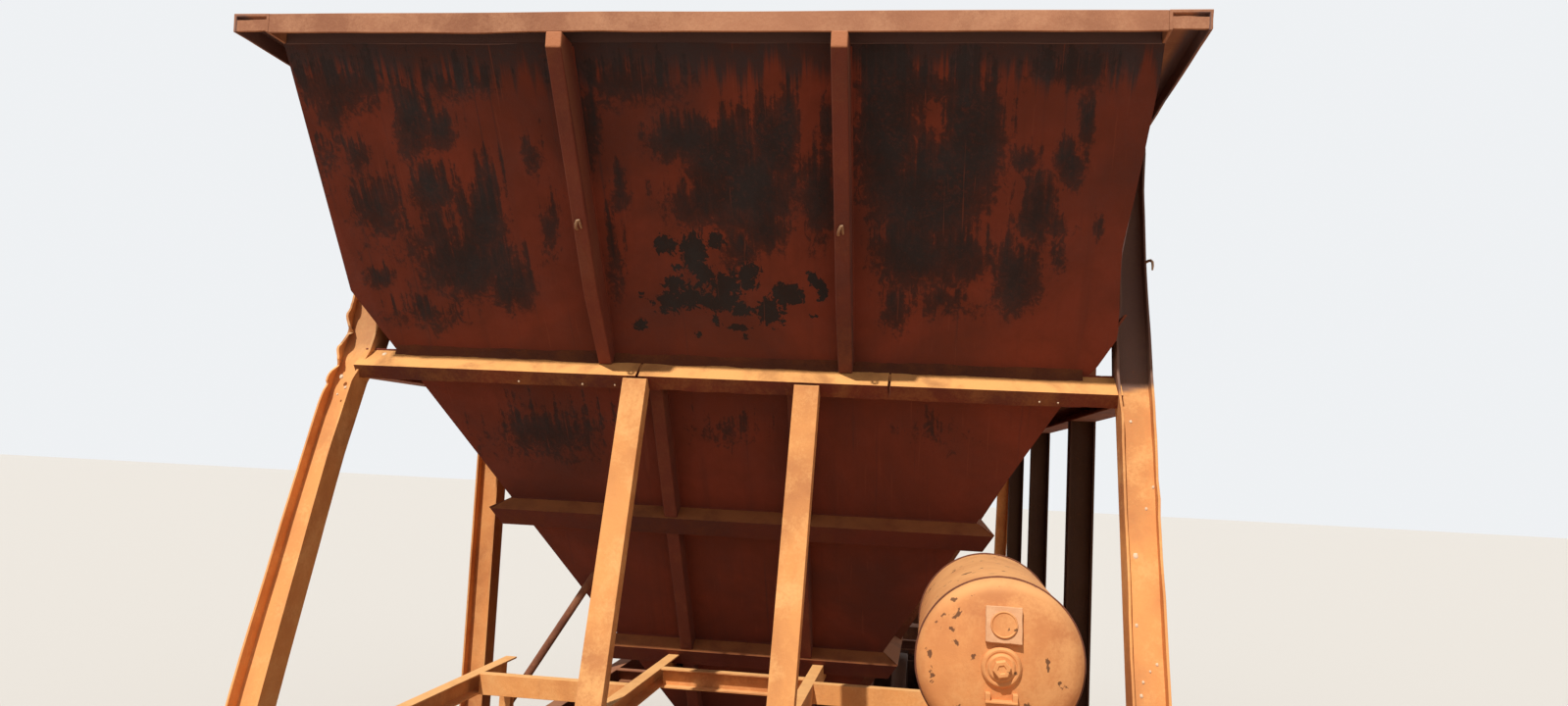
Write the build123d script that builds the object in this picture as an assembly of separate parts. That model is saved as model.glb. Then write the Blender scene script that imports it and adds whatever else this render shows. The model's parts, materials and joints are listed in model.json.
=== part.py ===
from build123d import *
import math
import os

# Open hopper wagon on two bogies, millimetres.
# X runs along the wagon, Y across it, Z up. The origin is on the ground under the middle.

# Hopper: the end sheets are one slope from the rim down, the side sheets are upright to a bend
HALF_LENGTH = 4300.0
HALF_WIDTH = 1475.0
RIM_TOP = 3750.0
RIM_HEIGHT = 60.0
RIM_WALL = 10.0
END_RIM_WIDTH = 110.0
SHEET = 8.0
END_RUN = 0.75
SIDE_BEND_Z = 2970.0
SIDE_RUN = 0.61

# Posts and stiffeners
POST_WIDTH = 112.0
POST_DEPTH = 110.0
POST_WALL = 8.0
CORNER_POST_BACK = 690.0
CORNER_POST_LEAN = 0.36
POST_FOOT_Z = 840.0
STATION_INSET = 2220.0
STATIONS_PER_SIDE = 2
STIFFENER_WIDTH = 50.0
STIFFENER_DEPTH = 68.0
STIFFENER_WALL = 7.0
END_STIFFENER_Y = 431.5
LOW_STIFFENER_Y = 250.0
END_POST_Y = 304.0
END_POST_WIDTH = 87.0
END_POST_DEPTH = 60.0
END_POST_LEAN = 0.30
END_POST_TOP_DROP = 18.0

# Waist: a channel across each end, set square to the sheet, and a ledge along each side
WAIST_EDGE_Z = 2715.0
WAIST_BEAM_REACH = 110.0
WAIST_BEAM_FLANGE = 62.0
LEDGE_TOP = 2750.0
LEDGE_HEIGHT = 75.0

# Ring angles round the lower hopper: height of the root on the sheet, leg out, leg down
RING_ROOTS = (2235.0, 1665.0)
RING_LEG = 76.0
RING_WALL = 8.0

# Underframe
SILL_TOP = 990.0
SILL_HEIGHT = 200.0
SILL_FLANGE = 83.0
SILL_WALL = 9.0
END_SILL_BACK = 100.0
END_SILL_FLANGE = 130.0
CENTRE_SILL_HALF = 165.0
CENTRE_SILL_HEIGHT = 230.0
CENTRE_SILL_WALL = 12.0
BOLSTER_BODY_HALF = 120.0
BEARER_HEIGHT = 80.0
BEARER_FLANGE = 60.0

# Discharge chute and its two doors
CHUTE_HALF = 330.0
CHUTE_BOTTOM = 420.0
DOOR_GAP = 6.0
DOOR_THICK = 10.0
DOOR_RIB = 30.0
HINGE_Y = 352.0
HINGE_DROP = 14.0
HINGE_PIN_RADIUS = 10.0
HINGE_CLEARANCE = 0.3
HINGE_KNUCKLE_RADIUS = 18.0
HINGE_INSET = 337.5
HINGE_PITCH = 930.0
HINGE_KNUCKLE_LENGTH = 40.0
HINGE_LUG = 12.0
HINGE_SIDE_GAP = 5.0
HINGE_LUG_RISE = 20.0
HINGE_LUG_TOP = 70.0
HINGE_LUG_TOE = 8.0
HINGE_LUG_CHAMFER = 6.0

# Running gear
BOGIE_BACK = 1350.0
AXLE_SPACING = 1575.0
TREAD_RADIUS = 419.0
FLANGE_HEIGHT = 28.0
WHEEL_BACK_Y = 460.0
WHEEL_WIDTH = 125.0
AXLE_RADIUS = 75.0
WHEEL_SEAT_RADIUS = 87.0
WHEEL_HUB_RADIUS = 125.0
WHEEL_RIM_THICK = 52.0
JOURNAL_RADIUS = 65.0
JOURNAL_Y = 810.0
JOURNAL_CLEARANCE = 0.3
BEARING_RADIUS = 105.0
BEARING_LENGTH = 150.0
FRAME_THICK = 120.0
BOLSTER_HALF = 160.0
BOLSTER_TOP = 700.0
BOLSTER_END_TOP = 575.0
BOLSTER_END_BOTTOM = 445.0
SPRING_SEAT_Z = 265.0
CENTRE_DISC_RADIUS = 150.0
CENTRE_PLATE_HALF = 220.0
CENTRE_PLATE_THICK = 12.0
CENTRE_PIN_LENGTH = 180.0
CENTRE_GAP = 0.3
BOWL_CLEARANCE = 6.0
BOWL_WALL = 24.0
BOWL_HEIGHT = 33.0
BOWL_FLOOR = 12.0
KINGPIN_RADIUS = 25.0
KINGPIN_CLEARANCE = 5.0
SIDE_BEARER_Y = 640.0
SIDE_BEARER_GAP = 7.0
SIDE_BEARER_HEIGHT = 38.0
KINGPIN_LENGTH = 192.0
ADAPTER = 20.0
FRAME_TOP = 705.0
FRAME_LOW = 165.0
FRAME_CROWN_X = 430.0
FRAME_SHOULDER_X = 630.0
FRAME_SHOULDER_DROP = 60.0
FRAME_BELLY_X = 340.0
PEDESTAL_OUTER = 205.0
PEDESTAL_INNER = 190.0
PEDESTAL_TOP_DROP = 75.0
PEDESTAL_FOOT = 72.0
PEDESTAL_CHAMFER = 14.0
LIGHT_WINDOW_X = 345.0
LIGHT_WINDOW_LOW = 330.0
LIGHT_WINDOW_TOP_X = 545.0
LIGHT_WINDOW_TIP_X = 575.0
LIGHT_WINDOW_TIP_Z = 440.0
BOLSTER_SHOULDER_Y = 690.0
BOLSTER_STEP = 50.0
BOLSTER_BELLY_Y = 380.0
BOLSTER_BELLY_Z = 400.0
SEAT_HALF = 110.0
SPRING_RADIUS = 46.0
SPRING_TURNS = 6
SPRING_PITCH = 156.0
SHOE_GAP = 6.0
SHOE_THICK = 45.0
SHOE_REACH = 60.0
SHOE_HALF_HEIGHT = 150.0
SHOE_TO_FLANGE = 42.0
BRAKE_BEAM_DEPTH = 60.0
BRAKE_BEAM_HALF_HEIGHT = 35.0

# Frame round the end posts, reservoir
RACK_TOP = 1600.0
RACK_HEIGHT = 75.0
RACK_FLANGE = 45.0
RACK_WALL = 7.0
RESERVOIR_RADIUS = 235.0
RESERVOIR_Y = 952.0
RESERVOIR_Z = 1902.0
RESERVOIR_BACK = 150.0
RESERVOIR_LENGTH = 830.0
RESERVOIR_DOME = 92.0
RESERVOIR_KNUCKLE = 60.0
RESERVOIR_RAIL_OFFSET = 165.0
RESERVOIR_SADDLE_SETBACKS = (660.0, 190.0)
RACK_LINK_CLEARANCE = 367.5
RACK_BEARER_RIGHT_AHEAD = 170.0
RACK_BEARER_LEFT_AHEAD = 450.0
SPARE_RAIL_Y = 900.0
BRACE_HEAD_Z = 1930.0
BRACE_HEAD_Y = 620.0
BRACE_FOOT_AHEAD = 100.0
BRACE_FOOT_Y = 1150.0
BRACE_RADIUS = 16.0

# Brake cylinder on the other end's centre sill
BRAKE_CYLINDER_RADIUS = 130.0
BRAKE_CYLINDER_LENGTH = 360.0
BRAKE_CYLINDER_AHEAD = 550.0
BRAKE_CYLINDER_FOOT = 60.0

# Couplers
COUPLER_Z = 865.0
COUPLER_REACH = 360.0
COUPLER_SHANK = 65.0
COUPLER_HALF_HEIGHT = 140.0
COUPLER_PLAN_UNIT = 1.0
COUPLER_KNUCKLE_DROP = 18.0
COUPLER_SHANK_LENGTH = 800.0
DRAFT_GEAR_LENGTH = 320.0

# What follows from them
CORNER_POST_X = HALF_LENGTH - CORNER_POST_BACK
END_SILL_X = HALF_LENGTH - END_SILL_BACK
BOGIE_X = HALF_LENGTH - BOGIE_BACK
COUPLER_FACE_X = END_SILL_X + COUPLER_REACH
DRAFT_GEAR_X = COUPLER_FACE_X - COUPLER_SHANK_LENGTH
STATION_PITCH = (HALF_LENGTH - STATION_INSET) / STATIONS_PER_SIDE
RESERVOIR_FRONT = HALF_LENGTH - RESERVOIR_BACK
BRACE_FOOT_X = BOGIE_X + BRACE_FOOT_AHEAD
BRAKE_CYLINDER_X = -BOGIE_X - BRAKE_CYLINDER_AHEAD
RIM_BOTTOM = RIM_TOP - RIM_HEIGHT
SHEET_Y = HALF_WIDTH - POST_WIDTH
AXLE_Z = TREAD_RADIUS + FLANGE_HEIGHT
SILL_BOTTOM = SILL_TOP - SILL_HEIGHT
END_SHEET_TOP_X = HALF_LENGTH - END_RIM_WIDTH + RIM_WALL
END_SHEET_X_THICK = SHEET * math.hypot(1.0, END_RUN)
SIDE_SHEET_Y_THICK = SHEET * math.hypot(1.0, SIDE_RUN)
CHUTE_TOP = SIDE_BEND_Z - (SHEET_Y - CHUTE_HALF) / SIDE_RUN
HINGE_Z = CHUTE_BOTTOM - HINGE_DROP
LEDGE_BOTTOM = LEDGE_TOP - LEDGE_HEIGHT
SILL_INNER_Y = SHEET_Y - SILL_FLANGE
END_SILL_INNER_X = END_SILL_X - END_SILL_FLANGE
RACK_BOTTOM = RACK_TOP - RACK_HEIGHT


def end_x(z):
    """Outer face of the end sheet at a height."""
    return END_SHEET_TOP_X - END_RUN * (RIM_BOTTOM - z)


def end_inner_x(z):
    return end_x(z) - END_SHEET_X_THICK


def side_y(z):
    """Outer face of the side sheets at a height, down to the chute."""
    if z >= SIDE_BEND_Z:
        return SHEET_Y
    return max(SHEET_Y - SIDE_RUN * (SIDE_BEND_Z - z), CHUTE_HALF)


def corner_post_x(z):
    """Front of the corner post at a height."""
    return CORNER_POST_X + CORNER_POST_LEAN * (WAIST_EDGE_Z - z)


def end_post_x(z):
    return waist_edge_x() + END_POST_LEAN * (WAIST_EDGE_Z - z)


END_SLOPE = math.hypot(1.0, END_RUN)
END_OUT = (1.0 / END_SLOPE, -END_RUN / END_SLOPE)
END_DOWN = (-END_RUN / END_SLOPE, -1.0 / END_SLOPE)
SIDE_SLOPE = math.hypot(1.0, SIDE_RUN)
SIDE_OUT = (1.0 / SIDE_SLOPE, -SIDE_RUN / SIDE_SLOPE)
SIDE_DOWN = (-SIDE_RUN / SIDE_SLOPE, -1.0 / SIDE_SLOPE)


def waist_root_z():
    """Height on the end sheet from which the waist beam stands out."""
    return WAIST_EDGE_Z - WAIST_BEAM_REACH * END_OUT[1]


def waist_edge_x():
    return end_x(waist_root_z()) + WAIST_BEAM_REACH * END_OUT[0]


def swept(outline, place, run):
    """Closed outline, placed in space by a function of its two coordinates, pushed along run."""
    corners = [Vector(*place(u, v)) for u, v in outline]
    face = Face(Wire.make_polygon(corners, close=True))
    return Solid.extrude(face, Vector(*run))


def block(x0, x1, y0, y1, z0, z1):
    corners = [(x0, y0), (x1, y0), (x1, y1), (x0, y1)]
    return swept(corners, lambda u, v: (u, v, z0), (0, 0, z1 - z0))


def rod(start, end, radius):
    """Round bar between two points."""
    path = Vector(*end) - Vector(*start)
    return Solid.make_cylinder(radius, path.length, Plane(origin=start, z_dir=path))


def channel(width, depth, wall):
    """Outline of a rolled channel: web along u from 0 to width, toes at v = depth."""
    return [
        (0, 0), (width, 0), (width, depth), (width - wall, depth),
        (width - wall, wall), (wall, wall), (wall, depth), (0, depth),
    ]


def beam(width, depth, wall):
    """Outline of a rolled beam: flanges across u at v = 0 and v = depth, web in the middle of u."""
    left = (width - wall) / 2
    right = (width + wall) / 2
    return [
        (0, 0), (width, 0), (width, wall), (right, wall), (right, depth - wall), (width, depth - wall),
        (width, depth), (0, depth), (0, depth - wall), (left, depth - wall), (left, wall), (0, wall),
    ]


def angle(leg_a, leg_b, wall):
    """Outline of an angle: one leg along v, the other along u at its far end."""
    return [(0, 0), (wall, 0), (wall, leg_a - wall), (leg_b, leg_a - wall), (leg_b, leg_a), (0, leg_a)]


def flip_side(solids):
    return [mirror(solid, Plane.XZ) for solid in solids]


def flip_end(solids):
    return [mirror(solid, Plane.YZ) for solid in solids]


def both_sides(solids):
    return solids + flip_side(solids)


def both_ends(solids):
    return solids + flip_end(solids)


def save(name, solids):
    """Write one node. A tool that cuts can leave a list or a compound, so solids are gathered first."""
    pieces = []
    for item in solids:
        pieces.extend(item.solids())
    shape = pieces[0] if len(pieces) == 1 else Compound(pieces)
    export_step(shape, f"parts/{name}.step")


def end_plate(heights):
    """Sloping end plate as wide as the side sheets at each height."""
    right = [(side_y(z), z) for z in heights]
    left = [(-y, z) for y, z in reversed(right)]
    return swept(right + left, lambda y, z: (end_x(z), y, z), (-END_SHEET_X_THICK, 0, 0))


def side_plate(top, bottom, thick):
    """Right hand side sheet between two heights, butted on the end sheets."""
    outline = [
        (end_inner_x(top), top), (end_inner_x(bottom), bottom),
        (-end_inner_x(bottom), bottom), (-end_inner_x(top), top),
    ]
    return swept(outline, lambda x, z: (x, side_y(z), z), (0, -thick, 0))


def rim_side():
    outline = channel(HALF_WIDTH - SHEET_Y + SHEET, RIM_HEIGHT, RIM_WALL)
    return swept(
        outline,
        lambda u, v: (-HALF_LENGTH, SHEET_Y - SHEET + u, RIM_TOP - v),
        (2 * HALF_LENGTH, 0, 0),
    )


def rim_end():
    outline = channel(END_RIM_WIDTH, RIM_HEIGHT, RIM_WALL)
    half = SHEET_Y - SHEET
    return swept(outline, lambda u, v: (HALF_LENGTH - u, -half, RIM_TOP - v), (0, 2 * half, 0))


def waist_beam():
    """Channel across the end between the corner posts, its web square to the sheet."""
    outline = channel(WAIST_BEAM_REACH, WAIST_BEAM_FLANGE, POST_WALL)
    root = waist_root_z()

    def place(u, v):
        x = end_x(root) + u * END_OUT[0] + v * END_DOWN[0]
        z = root + u * END_OUT[1] + v * END_DOWN[1]
        return (x, -SHEET_Y, z)

    return swept(outline, place, (0, 2 * SHEET_Y, 0))


def end_envelope(root, reach, depth):
    """Box that stands square on the end sheet: for trimming what meets a beam or ring there."""
    outline = [(0, 0), (depth, 0), (depth, reach), (0, reach)]

    def place(u, v):
        x = end_x(root) + v * END_OUT[0] + u * END_DOWN[0]
        z = root + v * END_OUT[1] + u * END_DOWN[1]
        return (x, -SHEET_Y, z)

    return swept(outline, place, (0, 2 * SHEET_Y, 0))


def waist_envelope():
    return end_envelope(waist_root_z(), WAIST_BEAM_REACH, WAIST_BEAM_FLANGE)


def side_envelope(root, reach, depth):
    outline = [(0, 0), (depth, 0), (depth, reach), (0, reach)]

    def place(u, v):
        y = side_y(root) + v * SIDE_OUT[0] + u * SIDE_DOWN[0]
        z = root + v * SIDE_OUT[1] + u * SIDE_DOWN[1]
        return (-HALF_LENGTH, y, z)

    return swept(outline, place, (2 * HALF_LENGTH, 0, 0))


def corner_post_solid(outline):
    foot_x = corner_post_x(POST_FOOT_Z)
    rise = RIM_BOTTOM - POST_FOOT_Z
    return swept(
        outline,
        lambda u, v: (foot_x - u, SHEET_Y + v, POST_FOOT_Z),
        (-CORNER_POST_LEAN * rise, 0, rise),
    )


def corner_post_run():
    """Flange width of the leaning post, measured level."""
    return POST_DEPTH * math.hypot(1.0, CORNER_POST_LEAN)


def corner_post():
    """Beam section from the rim to the foot, leaning out, on the outside of the side sheet."""
    return corner_post_solid(beam(corner_post_run(), POST_WIDTH, POST_WALL))


def waist_ledge():
    """Ledge along the side between the corner posts, its toe plate down to the slope."""
    outline = [
        (side_y(LEDGE_TOP - SHEET), LEDGE_TOP - SHEET), (side_y(LEDGE_TOP), LEDGE_TOP),
        (HALF_WIDTH, LEDGE_TOP), (HALF_WIDTH, LEDGE_BOTTOM), (SHEET_Y, LEDGE_BOTTOM),
        (SHEET_Y, LEDGE_BOTTOM + SHEET), (HALF_WIDTH - SHEET, LEDGE_BOTTOM + SHEET),
        (HALF_WIDTH - SHEET, LEDGE_TOP - SHEET),
    ]
    run = corner_post_run()
    reach = corner_post_x(LEDGE_BOTTOM) - run
    bar = swept(outline, lambda y, z: (-reach, y, z), (2 * reach, 0, 0))
    post = corner_post_solid([(0, 0), (run, 0), (run, POST_WIDTH), (0, POST_WIDTH)])
    beam_box = waist_envelope()
    for cut in both_ends([post, beam_box]):
        bar = bar - cut
    return bar


def stations():
    return [STATION_PITCH * index for index in range(-STATIONS_PER_SIDE, STATIONS_PER_SIDE + 1)]


def side_stiffener(x):
    """Upright channel on the upper side sheet, with gussets down to the slope above the ledge."""
    left = x - STIFFENER_WIDTH / 2
    upright = swept(
        channel(STIFFENER_WIDTH, POST_WIDTH, STIFFENER_WALL),
        lambda u, v: (left + u, HALF_WIDTH - v, LEDGE_TOP),
        (0, 0, RIM_BOTTOM - LEDGE_TOP),
    )
    triangle = [(SHEET_Y, SIDE_BEND_Z), (SHEET_Y, LEDGE_TOP), (side_y(LEDGE_TOP), LEDGE_TOP)]
    for start in (left, left + STIFFENER_WIDTH - STIFFENER_WALL):
        upright = upright + swept(triangle, lambda y, z: (start, y, z), (STIFFENER_WALL, 0, 0))
    return upright


def side_post(x):
    """Post from the foot on the sill up to the ledge."""
    outline = beam(POST_DEPTH, POST_WIDTH, POST_WALL)
    return swept(
        outline,
        lambda u, v: (x - POST_DEPTH / 2 + u, SHEET_Y + v, POST_FOOT_Z),
        (0, 0, LEDGE_BOTTOM - POST_FOOT_Z),
    )


def end_post():
    """Leaning channel from the end sill to the waist beam, its web to the front."""
    outline = channel(END_POST_WIDTH, END_POST_DEPTH * math.hypot(1.0, END_POST_LEAN), POST_WALL)
    top = WAIST_EDGE_Z - END_POST_TOP_DROP
    rise = top - SILL_TOP
    foot_x = end_post_x(SILL_TOP)
    post = swept(
        outline,
        lambda u, v: (foot_x - v, END_POST_Y - END_POST_WIDTH / 2 + u, SILL_TOP),
        (-END_POST_LEAN * rise, 0, rise),
    )
    return post - waist_envelope()


def end_stiffener(y, top, bottom):
    """Channel on its toes down the end sheet, trimmed where a beam or ring crosses it."""
    depth = STIFFENER_DEPTH * END_SLOPE
    bar = swept(
        channel(STIFFENER_WIDTH, depth, STIFFENER_WALL),
        lambda u, v: (end_x(bottom) + depth - v, y - STIFFENER_WIDTH / 2 + u, bottom),
        (end_x(top) - end_x(bottom), 0, top - bottom),
    )
    bar = bar - waist_envelope()
    for root in RING_ROOTS:
        bar = bar - end_envelope(root, RING_LEG, RING_LEG)
    return bar


def slope_stiffener(x):
    """Channel on its toes down the side slope, from under the ledge to the chute."""
    depth = STIFFENER_DEPTH * SIDE_SLOPE
    top = LEDGE_TOP - SHEET
    bar = swept(
        channel(STIFFENER_WIDTH, depth, STIFFENER_WALL),
        lambda u, v: (x - STIFFENER_WIDTH / 2 + u, CHUTE_HALF + depth - v, CHUTE_TOP),
        (0, side_y(top) - CHUTE_HALF, top - CHUTE_TOP),
    )
    for root in RING_ROOTS:
        bar = bar - side_envelope(root, RING_LEG, RING_LEG)
    return bar


def mitre_box(root, side):
    """Large box beyond the plane that halves the corner between an end ring and a side ring."""
    size = 3 * HALF_WIDTH
    normal = Vector(
        -1.0 / END_SLOPE, 1.0 / SIDE_SLOPE, END_RUN / END_SLOPE - SIDE_RUN / SIDE_SLOPE
    )
    if side == "side":
        normal = normal * -1
    plane = Plane(origin=(end_x(root), side_y(root), root), z_dir=normal)
    corner = plane.from_local_coords(Vector(-size, -size, 0))
    return Solid.make_box(2 * size, 2 * size, size, Plane(corner, x_dir=plane.x_dir, z_dir=plane.z_dir))


def ring_end(root):
    """Ring angle across the end sheet, mitred to pointed tips at the corners."""
    half = side_y(root) + RING_LEG

    def place(u, v):
        x = end_x(root) + v * END_OUT[0] + u * END_DOWN[0]
        z = root + v * END_OUT[1] + u * END_DOWN[1]
        return (x, -half, z)

    bar = swept(angle(RING_LEG, RING_LEG, RING_WALL), place, (0, 2 * half, 0))
    cut = mitre_box(root, "end")
    return bar - cut - mirror(cut, Plane.XZ)


def ring_side(root):
    half = end_x(root) + RING_LEG

    def place(u, v):
        y = side_y(root) + v * SIDE_OUT[0] + u * SIDE_DOWN[0]
        z = root + v * SIDE_OUT[1] + u * SIDE_DOWN[1]
        return (-half, y, z)

    bar = swept(angle(RING_LEG, RING_LEG, RING_WALL), place, (2 * half, 0, 0))
    cut = mitre_box(root, "side")
    return bar - cut - mirror(cut, Plane.YZ)


def side_sill():
    outline = channel(SILL_HEIGHT, SILL_FLANGE, SILL_WALL)
    return swept(
        outline,
        lambda u, v: (-END_SILL_INNER_X, SHEET_Y - v, SILL_BOTTOM + u),
        (2 * END_SILL_INNER_X, 0, 0),
    )


def end_sill():
    """Headstock channel with the coupler pocket cut through its web."""
    outline = channel(SILL_HEIGHT, END_SILL_FLANGE, SILL_WALL)
    bar = swept(
        outline, lambda u, v: (END_SILL_X - v, -SHEET_Y, SILL_BOTTOM + u), (0, 2 * SHEET_Y, 0)
    )
    half = CENTRE_SILL_HALF
    pocket = block(END_SILL_INNER_X - 1, END_SILL_X + 1, -half, half, SILL_BOTTOM - 1, SILL_TOP - SILL_WALL)
    return bar - pocket


def centre_sill():
    """Top-hat section from the end sill to the hopper slope."""
    outline = channel(2 * CENTRE_SILL_HALF, CENTRE_SILL_HEIGHT, CENTRE_SILL_WALL)
    top = SILL_TOP - SILL_WALL
    inner = end_x(top)
    bar = swept(outline, lambda u, v: (0, u - CENTRE_SILL_HALF, top - v), (END_SILL_X, 0, 0))
    slope = [(0, top + 1), (inner + END_RUN, top + 1)]
    slope += [(end_x(top - CENTRE_SILL_HEIGHT - 1), top - CENTRE_SILL_HEIGHT - 1)]
    slope += [(0, top - CENTRE_SILL_HEIGHT - 1)]
    cut = swept(slope, lambda x, z: (x, -CENTRE_SILL_HALF - 1, z), (0, 2 * CENTRE_SILL_HALF + 2, 0))
    return bar - cut


def body_bolster():
    """Right hand half of the bolster: deep at the centre sill, shallow at the side sill."""
    outline = [
        (CENTRE_SILL_HALF, SILL_TOP), (SILL_INNER_Y, SILL_TOP), (SILL_INNER_Y, SILL_BOTTOM + 40),
        (SIDE_BEARER_Y + 130, SILL_BOTTOM + 5), (CENTRE_SILL_HALF, SILL_BOTTOM - 20),
    ]
    return swept(outline, lambda y, z: (BOGIE_X - BOLSTER_BODY_HALF, y, z), (2 * BOLSTER_BODY_HALF, 0, 0))


def centre_plate():
    """Plate under the centre sill with the round disc and the kingpin below it."""
    plate_top = SILL_TOP - SILL_WALL - CENTRE_SILL_HEIGHT
    seat = BOLSTER_TOP + BOWL_FLOOR + CENTRE_GAP
    plate = block(
        BOGIE_X - CENTRE_PLATE_HALF, BOGIE_X + CENTRE_PLATE_HALF, -CENTRE_SILL_HALF, CENTRE_SILL_HALF,
        plate_top - CENTRE_PLATE_THICK, plate_top,
    )
    drop = plate_top - CENTRE_PLATE_THICK - seat
    disc = Solid.make_cylinder(CENTRE_DISC_RADIUS, drop, Plane((BOGIE_X, 0, seat)))
    pin = Solid.make_cylinder(KINGPIN_RADIUS, CENTRE_PIN_LENGTH, Plane((BOGIE_X, 0, seat - CENTRE_PIN_LENGTH)))
    return plate + disc + pin


def body_side_bearer():
    bottom = BOLSTER_TOP + SIDE_BEARER_HEIGHT + SIDE_BEARER_GAP
    pad = block(
        BOGIE_X - 90, BOGIE_X + 90, SIDE_BEARER_Y - 60, SIDE_BEARER_Y + 60, bottom, SILL_BOTTOM + 20
    )
    return pad - body_bolster()


def cross_bearer(x):
    """Channel from the chute to the side sill, level with the top of the sill."""
    return swept(
        channel(BEARER_HEIGHT, BEARER_FLANGE, POST_WALL),
        lambda u, v: (x - BEARER_FLANGE / 2 + v, CHUTE_HALF, SILL_TOP - BEARER_HEIGHT + u),
        (0, SILL_INNER_Y - CHUTE_HALF, 0),
    )


def end_sheet_back():
    """Everything behind the outer face of the front end sheet, for trimming."""
    outline = [
        (end_x(RIM_BOTTOM), RIM_BOTTOM), (end_x(CHUTE_BOTTOM), CHUTE_BOTTOM), (0, CHUTE_BOTTOM),
        (0, RIM_BOTTOM),
    ]
    return swept(outline, lambda x, z: (x, -HALF_WIDTH, z), (0, 2 * HALF_WIDTH, 0))


def strut():
    """Channel from the end slope into the back of the end post."""
    outer = END_POST_Y + RACK_FLANGE / 2
    start = end_x(RACK_BOTTOM) - RACK_HEIGHT
    run = end_post_x(RACK_BOTTOM) - start
    bar = swept(
        channel(RACK_HEIGHT, RACK_FLANGE, RACK_WALL),
        lambda u, v: (start, outer - v, RACK_BOTTOM + u),
        (run, 0, 0),
    )
    web = POST_WALL * math.hypot(1.0, END_POST_LEAN)
    low = RACK_BOTTOM - RACK_WALL
    high = RACK_TOP + RACK_WALL
    post = swept(
        [(end_post_x(low) - web, low), (end_post_x(high) - web, high), (HALF_LENGTH, high), (HALF_LENGTH, low)],
        lambda x, z: (x, 0, z),
        (0, SHEET_Y, 0),
    )
    ring = end_envelope(RING_ROOTS[-1], RING_LEG, RING_LEG)
    return bar - post - ring - end_sheet_back()


def rack_link():
    """Channel across the wagon between the two struts."""
    half = END_POST_Y - RACK_FLANGE / 2
    start = end_x(RACK_TOP) + RACK_LINK_CLEARANCE
    return swept(
        channel(RACK_HEIGHT, RACK_FLANGE, RACK_WALL),
        lambda u, v: (start + v, -half, RACK_BOTTOM + u),
        (0, 2 * half, 0),
    )


def rack_rail(y):
    """Channel along X on two legs: one on the bolster, one on the end sill."""
    start = BOGIE_X + BOLSTER_BODY_HALF - RACK_FLANGE
    end = END_SILL_INNER_X + RACK_FLANGE
    rail = swept(
        channel(RACK_HEIGHT, RACK_FLANGE, RACK_WALL),
        lambda u, v: (start, y - RACK_FLANGE / 2 + v, RACK_BOTTOM + u),
        (end - start, 0, 0),
    )
    for x in (start, end - RACK_FLANGE):
        leg = swept(
            channel(RACK_FLANGE, RACK_FLANGE, RACK_WALL),
            lambda u, v: (x + u, y - RACK_FLANGE / 2 + v, SILL_TOP),
            (0, 0, RACK_BOTTOM - SILL_TOP),
        )
        rail = rail + leg
    return rail


def rack_bearer(x, inner, outer):
    """Channel across, from the strut to the first rail."""
    return swept(
        channel(RACK_HEIGHT, RACK_FLANGE, RACK_WALL),
        lambda u, v: (x - v, inner, RACK_BOTTOM + u),
        (0, outer - inner, 0),
    )


def rack_saddle(x):
    """Cradle plate under the reservoir, across the two rails."""
    half = RESERVOIR_RAIL_OFFSET + RACK_FLANGE / 2
    plate = block(
        x - 20, x + 20, RESERVOIR_Y - half, RESERVOIR_Y + half, RACK_TOP, RESERVOIR_Z - RESERVOIR_RADIUS * 0.7
    )
    drum = Solid.make_cylinder(
        RESERVOIR_RADIUS, 100, Plane((x - 50, RESERVOIR_Y, RESERVOIR_Z), z_dir=(1, 0, 0))
    )
    return plate - drum


def reservoir():
    """Air reservoir along X: a rolled shell with two dished heads, each a knuckle and a crown arc."""
    r = RESERVOIR_RADIUS
    knuckle = RESERVOIR_KNUCKLE
    dish = RESERVOIR_DOME
    crown = (dish**2 + (r - knuckle) ** 2 - knuckle**2) / (2 * (dish - knuckle))
    turn = math.atan2(r - knuckle, crown - dish)
    front = RESERVOIR_FRONT
    back = front - RESERVOIR_LENGTH

    def arc_points(sign, root):
        """Shoulder, knuckle middle, knuckle end, crown middle and apex of one head."""
        centre = root + sign * (dish - crown)
        half_turn = (math.pi / 2 + turn) / 2
        return [
            (root, r),
            (root + sign * knuckle * math.cos(half_turn), r - knuckle + knuckle * math.sin(half_turn)),
            (centre + sign * crown * math.cos(turn), crown * math.sin(turn)),
            (centre + sign * crown * math.cos(turn / 2), crown * math.sin(turn / 2)),
            (root + sign * dish, 0.0),
        ]

    ahead = [Vector(x, 0, z) for x, z in arc_points(1, front)]
    behind = [Vector(x, 0, z) for x, z in arc_points(-1, back)]
    outline = Wire(
        [
            Edge.make_line(behind[4], ahead[4]),
            Edge.make_three_point_arc(ahead[4], ahead[3], ahead[2]),
            Edge.make_three_point_arc(ahead[2], ahead[1], ahead[0]),
            Edge.make_line(ahead[0], behind[0]),
            Edge.make_three_point_arc(behind[0], behind[1], behind[2]),
            Edge.make_three_point_arc(behind[2], behind[3], behind[4]),
        ]
    )
    shell = revolve(Face(outline), Axis.X, 360)
    return shell.moved(Location((0, RESERVOIR_Y, RESERVOIR_Z)))


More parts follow.
